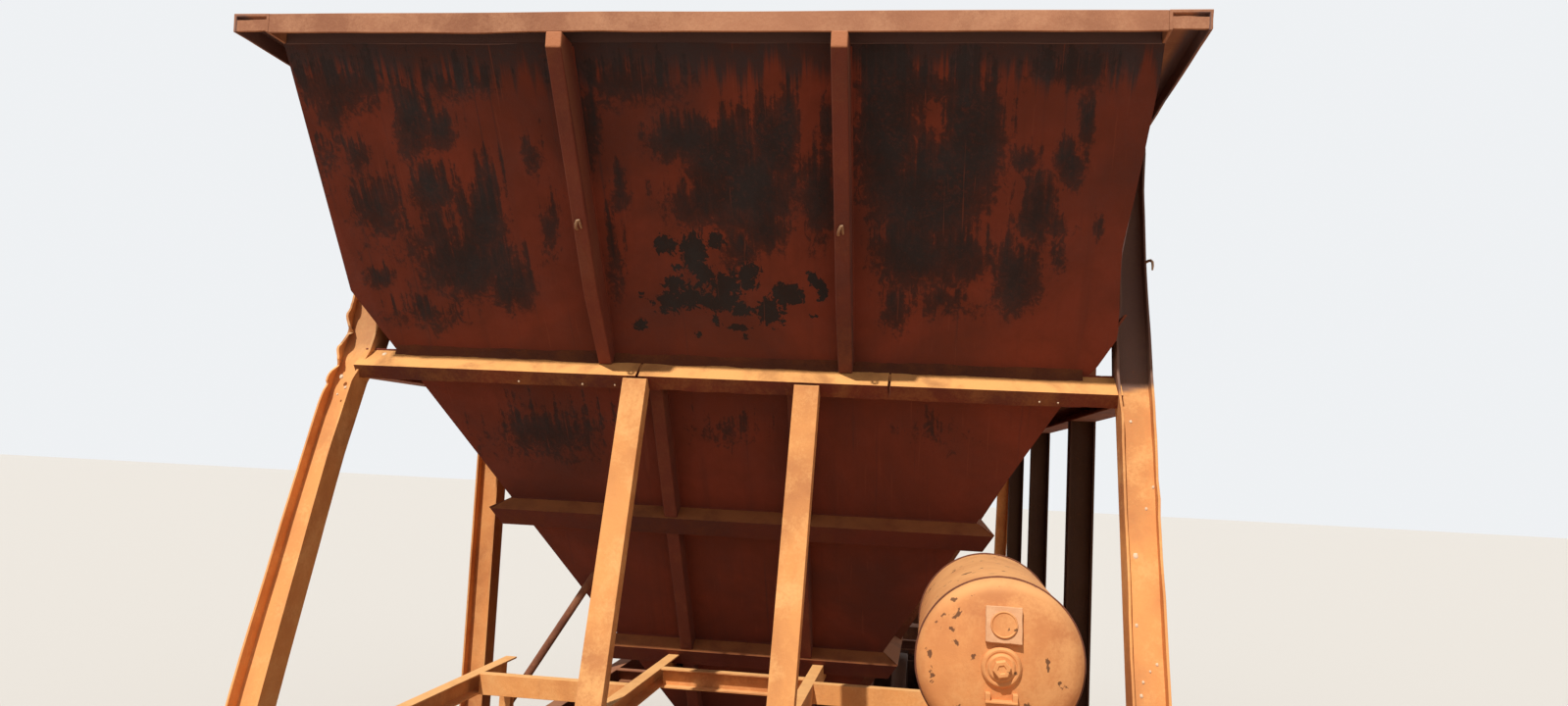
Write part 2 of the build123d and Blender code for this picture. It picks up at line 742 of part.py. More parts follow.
def brace(side):
    """Round bar from the end slope down to the bolster end."""
    foot = Vector(BRACE_FOOT_X, side * BRACE_FOOT_Y, SILL_TOP)
    head = Vector(end_x(BRACE_HEAD_Z), side * BRACE_HEAD_Y, BRACE_HEAD_Z)
    run = head - foot
    bar = rod(foot - run * 0.05, head + run * 0.05, BRACE_RADIUS)
    below = block(
        BRACE_FOOT_X - 200, BRACE_FOOT_X + 200, -HALF_WIDTH, HALF_WIDTH, SILL_BOTTOM, SILL_TOP
    )
    return bar - below - end_sheet_back()


def chute_side():
    outline = [
        (end_inner_x(CHUTE_TOP), CHUTE_TOP), (end_inner_x(CHUTE_BOTTOM), CHUTE_BOTTOM),
        (-end_inner_x(CHUTE_BOTTOM), CHUTE_BOTTOM), (-end_inner_x(CHUTE_TOP), CHUTE_TOP),
    ]
    return swept(outline, lambda x, z: (x, CHUTE_HALF, z), (0, -SHEET, 0))


def hinge_stations():
    outer = end_inner_x(CHUTE_BOTTOM) - HINGE_INSET
    return [-outer, HINGE_PITCH - outer, outer - HINGE_PITCH, outer]


def hinge_lugs(x):
    """Two lugs on the chute side with the hinge pin through them."""
    outline = [
        (CHUTE_HALF, CHUTE_BOTTOM), (HINGE_Y - HINGE_LUG_TOE, HINGE_Z - HINGE_KNUCKLE_RADIUS),
        (HINGE_Y + HINGE_KNUCKLE_RADIUS, HINGE_Z - HINGE_KNUCKLE_RADIUS + HINGE_LUG_CHAMFER),
        (HINGE_Y + HINGE_KNUCKLE_RADIUS, HINGE_Z + HINGE_LUG_RISE),
        (CHUTE_HALF, CHUTE_BOTTOM + HINGE_LUG_TOP),
    ]
    inner = HINGE_KNUCKLE_LENGTH / 2 + HINGE_SIDE_GAP
    outer = inner + HINGE_LUG
    pin = rod((x - outer, HINGE_Y, HINGE_Z), (x + outer, HINGE_Y, HINGE_Z), HINGE_PIN_RADIUS)
    for start in (x - outer, x + inner):
        pin = pin + swept(outline, lambda y, z: (start, y, z), (HINGE_LUG, 0, 0))
    return pin


def door():
    """Right hand discharge door: panel, edge rail and hinge ribs."""
    top = CHUTE_BOTTOM - DOOR_GAP
    under = top - DOOR_THICK
    half = end_inner_x(CHUTE_BOTTOM)
    leaf = block(-half, half, DOOR_GAP / 2, CHUTE_HALF, under, top)
    leaf = leaf + block(-half, half, DOOR_GAP / 2, DOOR_GAP / 2 + 30, under - DOOR_RIB, under)
    for x in hinge_stations():
        near = x - HINGE_KNUCKLE_LENGTH / 2
        far = x + HINGE_KNUCKLE_LENGTH / 2
        rib = block(near, far, DOOR_GAP / 2, HINGE_Y - 4, under - DOOR_RIB, under)
        knuckle = rod((near, HINGE_Y, HINGE_Z), (far, HINGE_Y, HINGE_Z), HINGE_KNUCKLE_RADIUS)
        bore = rod((near - 1, HINGE_Y, HINGE_Z), (far + 1, HINGE_Y, HINGE_Z), HINGE_PIN_RADIUS + HINGE_CLEARANCE)
        leaf = leaf + rib + knuckle - bore
    return leaf


def coupler():
    """Automatic coupler: shank, head with its guard arm, and the knuckle."""
    face = COUPLER_FACE_X
    unit = COUPLER_PLAN_UNIT
    head_plan = [
        (-270, -75), (-215, -125), (-70, -155), (35, -195), (72, -180), (62, -142), (-12, -100),
        (-62, -55), (-78, 0), (-70, 60), (-95, 85), (-95, 150), (-205, 130), (-270, 75),
    ]
    knuckle_plan = [
        (-95, 85), (-70, 60), (-40, 66), (-8, 50), (-2, 12), (12, -12), (46, -2), (64, 40), (62, 104),
        (34, 148), (-24, 166), (-95, 150),
    ]
    shank = block(
        DRAFT_GEAR_X, face - 265 * unit, -COUPLER_SHANK, COUPLER_SHANK, COUPLER_Z - COUPLER_SHANK,
        COUPLER_Z + COUPLER_SHANK,
    )
    head = swept(
        head_plan,
        lambda x, y: (face + x * unit, y * unit, COUPLER_Z - COUPLER_HALF_HEIGHT),
        (0, 0, 2 * COUPLER_HALF_HEIGHT),
    )
    knuckle_half = COUPLER_HALF_HEIGHT - COUPLER_KNUCKLE_DROP
    knuckle = swept(
        knuckle_plan,
        lambda x, y: (face + x * unit, y * unit, COUPLER_Z - knuckle_half),
        (0, 0, 2 * knuckle_half),
    )
    return head + shank, knuckle


def draft_gear():
    """Block that holds the shank between the centre sill webs, and the carrier under it."""
    half = CENTRE_SILL_HALF - CENTRE_SILL_WALL
    low = SILL_TOP - SILL_WALL - CENTRE_SILL_HEIGHT
    gear = block(
        DRAFT_GEAR_X - DRAFT_GEAR_LENGTH, DRAFT_GEAR_X, -half, half, COUPLER_Z - COUPLER_SHANK - 20,
        COUPLER_Z + COUPLER_SHANK + 20,
    )
    carrier = block(
        END_SILL_INNER_X, END_SILL_X, -half, half, low + 20, COUPLER_Z - COUPLER_SHANK
    )
    return [gear, carrier]


def turned(outline):
    """Solid of revolution about Y from (y, radius) points."""
    face = Face(Wire.make_polygon([Vector(r, y, 0) for y, r in outline], close=True))
    return revolve(face, Axis.Y, 360)


def wheel_hub_span():
    return WHEEL_BACK_Y - 22.0, WHEEL_BACK_Y + WHEEL_WIDTH + 26.0


def wheel():
    """Rail wheel: hub, dished plate, rim, coned tread and flange."""
    back = WHEEL_BACK_Y
    front = WHEEL_BACK_Y + WHEEL_WIDTH
    hub_back, hub_front = wheel_hub_span()
    tread = TREAD_RADIUS
    tip = AXLE_Z
    rim = tread - WHEEL_RIM_THICK
    hub = WHEEL_HUB_RADIUS
    flange = [(back, tip - 10), (back + 9, tip), (back + 20, tip - 4), (back + 32, tread + 6), (back + 42, tread)]
    outline = [
        (hub_back, WHEEL_SEAT_RADIUS), (hub_back, hub), (back + 12, hub + 13), (back + 22, rim - 18),
        (back, rim), *flange, (front, tread - 5), (front, rim), (front - 38, rim - 14),
        (front - 52, hub + 13), (hub_front, hub - 5), (hub_front, WHEEL_SEAT_RADIUS),
    ]
    return turned(outline)


def axle():
    """Axle: thinner in the middle, wheel seats, journals, and the end cap that turns with it."""
    hub_back, hub_front = wheel_hub_span()
    journal_in = JOURNAL_Y - BEARING_LENGTH / 2 - 2
    journal_out = JOURNAL_Y + BEARING_LENGTH / 2 + 5
    cap = BEARING_RADIUS - 18
    half = [
        (WHEEL_BACK_Y * 0.65, AXLE_RADIUS - 6), (hub_back - 8, AXLE_RADIUS + 6), (hub_back, WHEEL_SEAT_RADIUS),
        (hub_front, WHEEL_SEAT_RADIUS), (journal_in - 4, AXLE_RADIUS + 4), (journal_in, JOURNAL_RADIUS),
        (journal_out, JOURNAL_RADIUS), (journal_out, cap), (journal_out + 16, cap), (journal_out + 24, cap * 0.6),
        (journal_out + 24, 0),
    ]
    return turned(half + [(-y, r) for y, r in reversed(half)])


def side_frame():
    """Cast side frame: two pedestals, the bolster window and two lightening windows."""
    axle = AXLE_SPACING / 2
    roof = AXLE_Z + BEARING_RADIUS + ADAPTER
    jaw = BEARING_RADIUS + 13
    foot = AXLE_Z - PEDESTAL_FOOT
    end = FRAME_TOP - PEDESTAL_TOP_DROP
    chamfer = PEDESTAL_CHAMFER
    half = [
        (0, FRAME_TOP), (FRAME_CROWN_X, FRAME_TOP), (FRAME_SHOULDER_X, FRAME_TOP - FRAME_SHOULDER_DROP),
        (axle + PEDESTAL_OUTER - 35, end), (axle + PEDESTAL_OUTER, end - 65), (axle + PEDESTAL_OUTER - 10, foot),
        (axle + jaw + chamfer, foot), (axle + jaw, foot + 60), (axle + jaw, roof), (axle - jaw, roof),
        (axle - jaw, foot + 60), (axle - jaw - chamfer, foot), (axle - PEDESTAL_INNER, foot),
        (FRAME_BELLY_X, FRAME_LOW), (0, FRAME_LOW),
    ]
    outline = half + [(-x, z) for x, z in reversed(half[1:-1])]
    casting = swept(outline, lambda x, z: (x, JOURNAL_Y - FRAME_THICK / 2, z), (0, FRAME_THICK, 0))
    window = BOLSTER_HALF + 1
    y0 = JOURNAL_Y - FRAME_THICK / 2 - 1
    y1 = JOURNAL_Y + FRAME_THICK / 2 + 1
    casting = casting - block(-window, window, y0, y1, SPRING_SEAT_Z, BOLSTER_END_TOP + 12)
    light = [
        (LIGHT_WINDOW_X, LIGHT_WINDOW_LOW), (LIGHT_WINDOW_X, BOLSTER_END_TOP),
        (LIGHT_WINDOW_TOP_X, BOLSTER_END_TOP), (LIGHT_WINDOW_TIP_X, LIGHT_WINDOW_TIP_Z),
    ]
    for sign in (1, -1):
        casting = casting - swept(light, lambda x, z: (sign * x, y0, z), (0, y1 - y0, 0))
    seat = block(
        -window, window, JOURNAL_Y - SEAT_HALF, JOURNAL_Y + SEAT_HALF, SPRING_SEAT_Z - 30, SPRING_SEAT_Z
    )
    return casting + seat


def bogie_bolster():
    """Cast bolster: the bowl for the centre disc on top, and the side bearers."""
    outline = [
        (0, BOLSTER_TOP), (BOLSTER_SHOULDER_Y, BOLSTER_TOP), (BOLSTER_SHOULDER_Y + BOLSTER_STEP, BOLSTER_END_TOP),
        (JOURNAL_Y + SEAT_HALF, BOLSTER_END_TOP), (JOURNAL_Y + SEAT_HALF, BOLSTER_END_BOTTOM),
        (BOLSTER_SHOULDER_Y, BOLSTER_END_BOTTOM), (BOLSTER_BELLY_Y, BOLSTER_BELLY_Z), (0, BOLSTER_BELLY_Z),
    ]
    outline = outline + [(-y, z) for y, z in reversed(outline[1:-1])]
    body = swept(outline, lambda y, z: (-BOLSTER_HALF, y, z), (2 * BOLSTER_HALF, 0, 0))
    bowl = CENTRE_DISC_RADIUS + BOWL_CLEARANCE
    body = body + Solid.make_cylinder(bowl + BOWL_WALL, BOWL_HEIGHT, Plane((0, 0, BOLSTER_TOP)))
    body = body - Solid.make_cylinder(bowl, BOWL_HEIGHT, Plane((0, 0, BOLSTER_TOP + BOWL_FLOOR)))
    hole = KINGPIN_RADIUS + KINGPIN_CLEARANCE
    body = body - Solid.make_cylinder(hole, BOLSTER_TOP, Plane((0, 0, BOLSTER_TOP - KINGPIN_LENGTH)))
    for side in (1, -1):
        body = body + block(
            -90, 90, side * SIDE_BEARER_Y - 60, side * SIDE_BEARER_Y + 60, BOLSTER_TOP,
            BOLSTER_TOP + SIDE_BEARER_HEIGHT,
        )
    return body


def spring(x, y):
    """Coil spring as a stack of rounded turns."""
    height = BOLSTER_END_BOTTOM - SPRING_SEAT_Z
    pitch = height / SPRING_TURNS
    outline = [(0, 0)]
    for turn in range(SPRING_TURNS):
        outline += [(SPRING_RADIUS - 12, turn * pitch), (SPRING_RADIUS, (turn + 0.5) * pitch)]
    outline += [(SPRING_RADIUS - 12, height), (0, height)]
    face = Face(Wire.make_polygon([Vector(r, 0, z) for r, z in outline], close=True))
    return revolve(face, Axis.Z, 360).moved(Location((x, y, SPRING_SEAT_Z)))


def axle_box(x):
    """Bearing with its adapter under the pedestal roof."""
    y0 = JOURNAL_Y - BEARING_LENGTH / 2
    cup = rod((x, y0, AXLE_Z), (x, y0 + BEARING_LENGTH, AXLE_Z), BEARING_RADIUS)
    roof = AXLE_Z + BEARING_RADIUS + ADAPTER
    adapter = block(x - 95, x + 95, y0, y0 + BEARING_LENGTH, AXLE_Z + BEARING_RADIUS - 40, roof)
    bore = rod(
        (x, y0 - 1, AXLE_Z), (x, y0 + BEARING_LENGTH + 1, AXLE_Z), JOURNAL_RADIUS + JOURNAL_CLEARANCE
    )
    return cup + adapter - bore


def brake_beam():
    """Beam between the side frames with a block facing each tread."""
    axle = AXLE_SPACING / 2
    back = axle - TREAD_RADIUS - SHOE_GAP - SHOE_THICK
    half = JOURNAL_Y - FRAME_THICK / 2
    body = block(
        back - BRAKE_BEAM_DEPTH, back, -half, half, AXLE_Z - BRAKE_BEAM_HALF_HEIGHT, AXLE_Z + BRAKE_BEAM_HALF_HEIGHT
    )
    wheel = rod((axle, -half, AXLE_Z), (axle, half, AXLE_Z), TREAD_RADIUS + SHOE_GAP)
    inner = WHEEL_BACK_Y + SHOE_TO_FLANGE
    width = WHEEL_WIDTH - SHOE_TO_FLANGE
    for side in (1, -1):
        y0 = min(side * inner, side * (WHEEL_BACK_Y + WHEEL_WIDTH))
        shoe = block(
            back, back + SHOE_THICK + SHOE_REACH, y0, y0 + width, AXLE_Z - SHOE_HALF_HEIGHT, AXLE_Z + SHOE_HALF_HEIGHT
        )
        body = body + (shoe - wheel)
    return body


def brake_cylinder():
    """Cylinder on its foot on top of the centre sill, with the push rod's gaiter end."""
    z = SILL_TOP + BRAKE_CYLINDER_FOOT + BRAKE_CYLINDER_RADIUS
    near = BRAKE_CYLINDER_X
    far = BRAKE_CYLINDER_X - BRAKE_CYLINDER_LENGTH
    body = rod((near, 0, z), (far, 0, z), BRAKE_CYLINDER_RADIUS)
    body = body + rod((near, 0, z), (near - 20, 0, z), BRAKE_CYLINDER_RADIUS + 18)
    body = body + rod((near, 0, z), (near + 90, 0, z), BRAKE_CYLINDER_RADIUS * 0.35)
    foot = block(far + 60, near - 60, -90, 90, SILL_TOP - SILL_WALL, z - BRAKE_CYLINDER_RADIUS * 0.5)
    return body + foot


def bogie_nodes():
    """Pieces of one bogie about its own centre, keyed by the end of their node name."""
    offset = AXLE_SPACING / 2
    springs = [
        spring(x, y)
        for x in (-SPRING_PITCH / 2, SPRING_PITCH / 2)
        for y in (JOURNAL_Y - SPRING_PITCH / 3, JOURNAL_Y + SPRING_PITCH / 3)
    ]
    return {
        "side_frames": both_sides([side_frame()]),
        "bolster": [bogie_bolster()],
        "springs": both_sides(springs),
        "axle_boxes": both_sides([axle_box(-offset), axle_box(offset)]),
        "brake_beams": both_ends([brake_beam()]),
    }


def save_hopper():
    front = [end_plate((RIM_BOTTOM, SIDE_BEND_Z, CHUTE_TOP))]
    save("end_sheet_front", front)
    save("end_sheet_rear", flip_end(front))
    save("chute_ends", both_ends([end_plate((CHUTE_TOP, CHUTE_BOTTOM))]))
    upper = [side_plate(RIM_BOTTOM, SIDE_BEND_Z, SHEET)]
    save("side_sheet_right", upper)
    save("side_sheet_left", flip_side(upper))
    lower = [side_plate(SIDE_BEND_Z, CHUTE_TOP, SIDE_SHEET_Y_THICK)]
    save("side_slope_right", lower)
    save("side_slope_left", flip_side(lower))
    save("chute_sides", both_sides([chute_side()]))
    save("rim_sides", both_sides([rim_side()]))
    save("rim_ends", both_ends([rim_end()]))
    save("waist_beams", both_ends([waist_beam()]))
    save("waist_ledges", both_sides([waist_ledge()]))
    save("side_stiffeners", both_sides([side_stiffener(x) for x in stations()]))
    save("slope_stiffeners", both_sides([slope_stiffener(x) for x in stations()]))
    beam_middle = waist_root_z() - WAIST_BEAM_FLANGE / 2
    upright = end_stiffener(END_STIFFENER_Y, RIM_BOTTOM, beam_middle)
    low = end_stiffener(LOW_STIFFENER_Y, beam_middle, CHUTE_TOP)
    save("end_stiffeners", both_ends(both_sides([upright, low])))
    save("hopper_rings_end", both_ends([ring_end(root) for root in RING_ROOTS]))
    save("hopper_rings_side", both_sides([ring_side(root) for root in RING_ROOTS]))


def save_frame():
    save("corner_posts", both_ends(both_sides([corner_post()])))
    save("side_posts", both_sides([side_post(x) for x in stations()[::2]]))
    save("end_posts", both_ends(both_sides([end_post()])))
    save("side_sills", both_sides([side_sill()]))
    save("end_sills", both_ends([end_sill()]))
    save("centre_sills", both_ends([centre_sill()]))
    save("body_bolsters", both_ends(both_sides([body_bolster()])))
    save("centre_plates", both_ends([centre_plate()]))
    save("body_side_bearers", both_ends(both_sides([body_side_bearer()])))
    save("cross_bearers", both_sides([cross_bearer(x) for x in stations()[::2]]))
    save("end_struts", both_ends(both_sides([strut()])))
    save("strut_links", both_ends([rack_link()]))
    left_brace = [brace(-1)]
    save("end_braces", left_brace + flip_end(both_sides(left_brace)))
    save("draft_gear", both_ends(draft_gear()))
    head, knuckle = coupler()
    save("coupler_heads", [head, head.rotate(Axis.Z, 180)])
    save("coupler_knuckles", [knuckle, knuckle.rotate(Axis.Z, 180)])


def save_air_gear():
    """Reservoir on its rack at one side of the front end, the bare rack at the other."""
    strut_side = END_POST_Y + RACK_FLANGE / 2
    near = RESERVOIR_Y - RESERVOIR_RAIL_OFFSET
    right_bearer = rack_bearer(BOGIE_X + RACK_BEARER_RIGHT_AHEAD, strut_side, near - RACK_FLANGE / 2)
    save("reservoir_rack", [rack_rail(near) + right_bearer, rack_rail(RESERVOIR_Y + RESERVOIR_RAIL_OFFSET)])
    left_bearer = rack_bearer(BOGIE_X + RACK_BEARER_LEFT_AHEAD, -SPARE_RAIL_Y + RACK_FLANGE / 2, -strut_side)
    save("spare_rack", [rack_rail(-SPARE_RAIL_Y) + left_bearer])
    save("reservoir_saddles", [rack_saddle(RESERVOIR_FRONT - back) for back in RESERVOIR_SADDLE_SETBACKS])
    save("air_reservoir", [reservoir()])
    save("brake_cylinder", [brake_cylinder()])


def save_doors():
    save("door_hinge_lugs", both_sides([hinge_lugs(x) for x in hinge_stations()]))
    right_door = [door()]
    save("door_right", right_door)
    save("door_left", flip_side(right_door))


def save_bogies():
    pieces = bogie_nodes()
    wheels = both_sides([wheel()])
    bar = axle()
    for end, sign in (("front", 1), ("rear", -1)):
        place = Location((sign * BOGIE_X, 0, 0))
        for name, solids in pieces.items():
            save(f"bogie_{end}_{name}", [solid.moved(place) for solid in solids])
        for side, offset in (("outer", AXLE_SPACING / 2), ("inner", -AXLE_SPACING / 2)):
            spot = Location((sign * (BOGIE_X + offset), 0, AXLE_Z))
            save(f"wheels_{end}_{side}", [solid.moved(spot) for solid in wheels])
            save(f"axle_{end}_{side}", [bar.moved(spot)])


os.makedirs("parts", exist_ok=True)
save_hopper()
save_frame()
save_air_gear()
save_doors()
save_bogies()
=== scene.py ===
import json
import math
from functools import partialmethod

import bmesh
import bpy
from mathutils import Matrix, Vector, noise


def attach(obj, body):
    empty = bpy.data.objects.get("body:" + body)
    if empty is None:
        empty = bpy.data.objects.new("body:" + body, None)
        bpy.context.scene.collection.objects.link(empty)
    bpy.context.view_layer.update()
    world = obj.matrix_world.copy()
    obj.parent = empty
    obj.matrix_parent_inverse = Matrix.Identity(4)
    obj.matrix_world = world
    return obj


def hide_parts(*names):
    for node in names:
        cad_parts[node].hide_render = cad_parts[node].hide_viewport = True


# Open hopper wagon, dressed around its solids. Metres, +Z up, the photographed end at +X.

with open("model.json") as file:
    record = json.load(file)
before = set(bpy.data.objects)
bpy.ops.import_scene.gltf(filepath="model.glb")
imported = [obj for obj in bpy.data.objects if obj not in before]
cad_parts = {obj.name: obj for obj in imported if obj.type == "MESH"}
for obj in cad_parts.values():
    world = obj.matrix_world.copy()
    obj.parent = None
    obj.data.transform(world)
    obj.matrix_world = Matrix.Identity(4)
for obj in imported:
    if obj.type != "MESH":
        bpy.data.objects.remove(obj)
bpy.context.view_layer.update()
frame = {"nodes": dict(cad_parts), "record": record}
nodes = frame["nodes"]

BODY = "wagon_body"

# Camera of the photograph: place, axes, focal length, and the middle of its 1599 by 720 pixels

CAMERA_AT = Vector((7.4755, 0.7499, 2.4544))
CAMERA_RIGHT = Vector((-0.131217, 0.990165, 0.048529))
CAMERA_UP = Vector((0.095222, -0.036137, 0.994800))
CAMERA_BACK = Vector((0.986770, 0.135155, -0.089544))
SENSOR_MM = 36.0
FOCAL_MM = 26.009
FOCAL_PX = FOCAL_MM / SENSOR_MM * 1599
MIDDLE_PX = (799.5, 360.0)


# Shader building

class Shader:
    """Nodes of a material or world, with a short call for each kind that is used here."""

    def __init__(self, owner, cleared=True):
        owner.use_nodes = True
        self.tree = owner.node_tree
        if cleared:
            self.tree.nodes.clear()

    def add(self, kind, settings=None, **sockets):
        """New node. A socket given as another node's output is linked, any other value is set."""
        made = self.tree.nodes.new("ShaderNode" + kind)
        for key, value in (settings or {}).items():
            setattr(made, key, value)
        for key, value in sockets.items():
            socket = made.inputs[int(key[1:])] if key[0] == "i" and key[1:].isdigit() else made.inputs[key]
            if isinstance(value, bpy.types.NodeSocket):
                self.tree.links.new(value, socket)
            else:
                socket.default_value = value
        return made

    def noise(self, where, scale, detail=4.0, rough=0.55, distortion=0.0):
        form = {"Detail": detail, "Roughness": rough, "Distortion": distortion}
        return self.add("TexNoise", Vector=where, Scale=scale, **form).outputs["Fac"]

    def stretched(self, where, x, y, z):
        return self.add("Mapping", Vector=where, Scale=(x, y, z)).outputs["Vector"]

    def between(self, value, low, high, start=0.0, end=1.0):
        """Value mapped from low..high to start..end, held at the ends."""
        smooth = {"interpolation_type": "SMOOTHSTEP"}
        return self.add("MapRange", smooth, i0=value, i1=low, i2=high, i3=start, i4=end).outputs[0]

    def maths(self, kind, a, b):
        return self.add("Math", {"operation": kind}, i0=a, i1=b).outputs[0]

    plus = partialmethod(maths, "ADD")
    less = partialmethod(maths, "SUBTRACT")
    times = partialmethod(maths, "MULTIPLY")
    most = partialmethod(maths, "MAXIMUM")

    def swing(self, value, size):
        """Noise brought to 0 in its middle, then scaled."""
        return self.times(self.less(value, 0.5), size)

    def blend(self, share, a, b):
        return self.add("Mix", {"data_type": "RGBA"}, i0=share, i6=a, i7=b).outputs[2]

    def of_mesh(self, name):
        """Value that a mesh carries at its vertices, 0 where it carries none."""
        return self.add("Attribute", {"attribute_name": name}).outputs["Fac"]

    def looked_at(self):
        """1 for what the camera sees, also in a reflection or through glass, 0 for light on its way."""
        path = self.add("LightPath").outputs
        return self.most(self.most(path["Is Camera Ray"], path["Is Glossy Ray"]), path["Is Transmission Ray"])


def rgb(shown):
    """Hex colour as it shows on the screen, turned to scene values."""
    def linear(c):
        c = c / 255.0
        return c / 12.92 if c <= 0.04045 else ((c + 0.055) / 1.055) ** 2.4
    r, g, b = bytes.fromhex(shown)
    return (linear(r), linear(g), linear(b), 1.0)


def stained(s, where, colour):
    """Dark stains where the mesh says so, with hanging drips at their tops and a peppered edge, and a
    dark film with clean runs under the rim. Gives the colour and how far it is covered."""
    lumps = s.noise(where, 6.5, 6.0, 0.62, 0.5)
    shreds = s.noise(s.stretched(where, 0.8, 1.3, 0.8), 24.0, 5.0, 0.6, 1.2)
    pepper = s.noise(where, 60.0, 5.0, 0.78)
    torn = s.noise(where, 34.0, 5.0, 0.7, 0.8)
    drips = s.less(s.noise(s.stretched(where, 0.4, 46.0, 1.3), 1.0, 3.0, 0.55), 0.5)
    edge = s.plus(s.plus(s.swing(lumps, 0.7), s.swing(shreds, 0.75)), s.swing(pepper, 0.6))
    hung = s.times(s.times(drips, s.of_mesh("hang")), 3.2)
    stain = s.of_mesh("stain")
    field = s.plus(stain, s.times(s.plus(edge, hung), s.between(stain, 0.0, 0.25)))
    cover = s.times(s.between(field, 0.40, 0.62), s.between(field, 0.45, 0.95, 0.7, 1.0))
    flake = s.of_mesh("flake")
    flake_edge = s.times(s.plus(edge, s.swing(torn, 1.9)), s.between(flake, 0.0, 0.3))
    flakes = s.between(s.plus(flake, flake_edge), 0.49, 0.57)
    film = s.plus(s.of_mesh("film"), s.times(drips, 1.9))
    colour = s.blend(s.between(film, 0.2, 0.75, 0.0, 0.95), colour, rgb("302323"))
    worn = s.between(s.plus(pepper, s.times(lumps, 0.5)), 0.74, 1.0, 1.0, 0.7)
    colour = s.blend(s.times(cover, worn), colour, rgb("211512"))
    colour = s.blend(flakes, colour, rgb("1e130e"))
    scratch = s.noise(s.stretched(where, 6.0, 70.0, 1.0), 1.0, 2.0, 0.4, 0.6)
    colour = s.blend(s.between(scratch, 0.69, 0.74, 0.0, 0.35), colour, rgb("803e2a"))
    return colour, s.most(cover, flakes)


# Colours of chips, of the painted shade on the right-hand side posts, of the painted shade inside the rim
# channels and on the posts above the waist, and of dust specks
DARK = rgb("3a2218")
SHADED = rgb("341d15")
PAINTED_SHADE_GREY = rgb("52454a")
PALE = rgb("d6bea0")


def rusted(
    name, paint, shade, dust, dusty=0.5, dark=0.35, streak=0.35, stains=False, chips=0.0, film=0.8,
    rough=0.86, metallic=0.0, relief=0.35, run_x=14.0, seed=0.0, painted_shade_right=0.0,
):
    """Old painted or bare steel: mottled paint, rust shade, dust on what faces up, streaks, chips, grain, and
    painted shade where the mesh marks it or towards +y.
    """
    paint, shade, dust = rgb(paint), rgb(shade), rgb(dust)
    material = bpy.data.materials.new(name)
    s = Shader(material)
    place = s.add("TexCoord").outputs["Object"]
    where = s.add("Mapping", Vector=place, Location=(seed, seed * 0.7, seed * 0.3)).outputs[0]
    broad = s.noise(where, 1.3, 5.0, 0.6, 0.6)
    mottle = s.noise(where, 7.0, 6.0, 0.65, 0.3)
    grain = s.noise(where, 90.0, 4.0, 0.7)
    fine = s.noise(where, 420.0, 2.0, 0.6)
    runs = s.noise(s.stretched(where, run_x, 14.0, 0.9), 1.0, 5.0, 0.6, 0.2)

    colour = s.blend(s.between(broad, 0.35, 0.68), paint, shade)
    colour = s.blend(s.between(mottle, 0.5 - dark * 0.15, 0.78, 0.0, dark + 0.25), colour, shade)
    colour = s.blend(s.between(runs, 0.5, 0.72, 0.0, streak), colour, shade)
    cover = None
    if stains:
        colour, cover = stained(s, where, colour)
    normal = s.add("NewGeometry").outputs["Normal"]
    up = s.add("SeparateXYZ", i0=normal).outputs[2]
    settled = s.times(s.between(up, 0.15, 0.85), s.between(mottle, 0.25, 0.6, 0.5, 1.0))
    film = s.between(s.plus(mottle, s.times(grain, 0.35)), 0.55, 0.95, 0.0, film)
    share = s.times(s.most(settled, film), dusty)
    if stains:
        share = s.times(share, s.between(cover, 0.0, 1.0, 1.0, 0.2))
    # Pale dust where the mesh marks it; on the stiffener heads it is partly a painted highlight
    colour = s.blend(s.most(share, s.of_mesh("dust_and_highlight")), colour, dust)
    # Painted shade: grey-purple darkening wherever the mesh marks it
    colour = s.blend(s.of_mesh("painted_shade"), colour, PAINTED_SHADE_GREY)
    # Painted shade: darker towards +y across the object, for the side posts whose right-hand ones stand in
    # shade
    if painted_shade_right:
        across = s.add("SeparateXYZ", i0=place).outputs[1]
        colour = s.blend(s.between(across, -0.5, 0.5, 0.0, painted_shade_right), colour, SHADED)
    colour = s.blend(s.between(grain, 0.62, 0.8, 0.0, 0.55), colour, shade)
    colour = s.blend(s.between(fine, 0.66, 0.8, 0.0, 0.4 * dusty), colour, PALE)
    if chips:
        cover = s.between(s.noise(where, 19.0, 4.0, 0.55, 0.3), 0.64, 0.665, 0.0, chips)
        colour = s.blend(cover, colour, DARK)

    height = s.plus(s.plus(s.times(mottle, 0.5), s.times(grain, 0.35)), s.times(fine, 0.15))
    if cover is not None:
        height = s.less(height, s.times(cover, 0.25))
    pressed = s.add("Bump", Strength=relief, Distance=0.012, Height=height).outputs["Normal"]
    shiny = s.between(s.plus(s.times(grain, 0.5), mottle), 0.4, 1.1, rough - 0.1, rough + 0.1)
    look = {"Base Color": colour, "Metallic": metallic, "IOR": 1.45}
    surface = s.add("BsdfPrincipled", Roughness=shiny, Normal=pressed, **look)
    s.add("OutputMaterial", Surface=surface.outputs[0])
    return material


def wear(obj, material):
    obj.data.materials.clear()
    obj.data.materials.append(material)


# Materials: paint, its rust shade and its dust

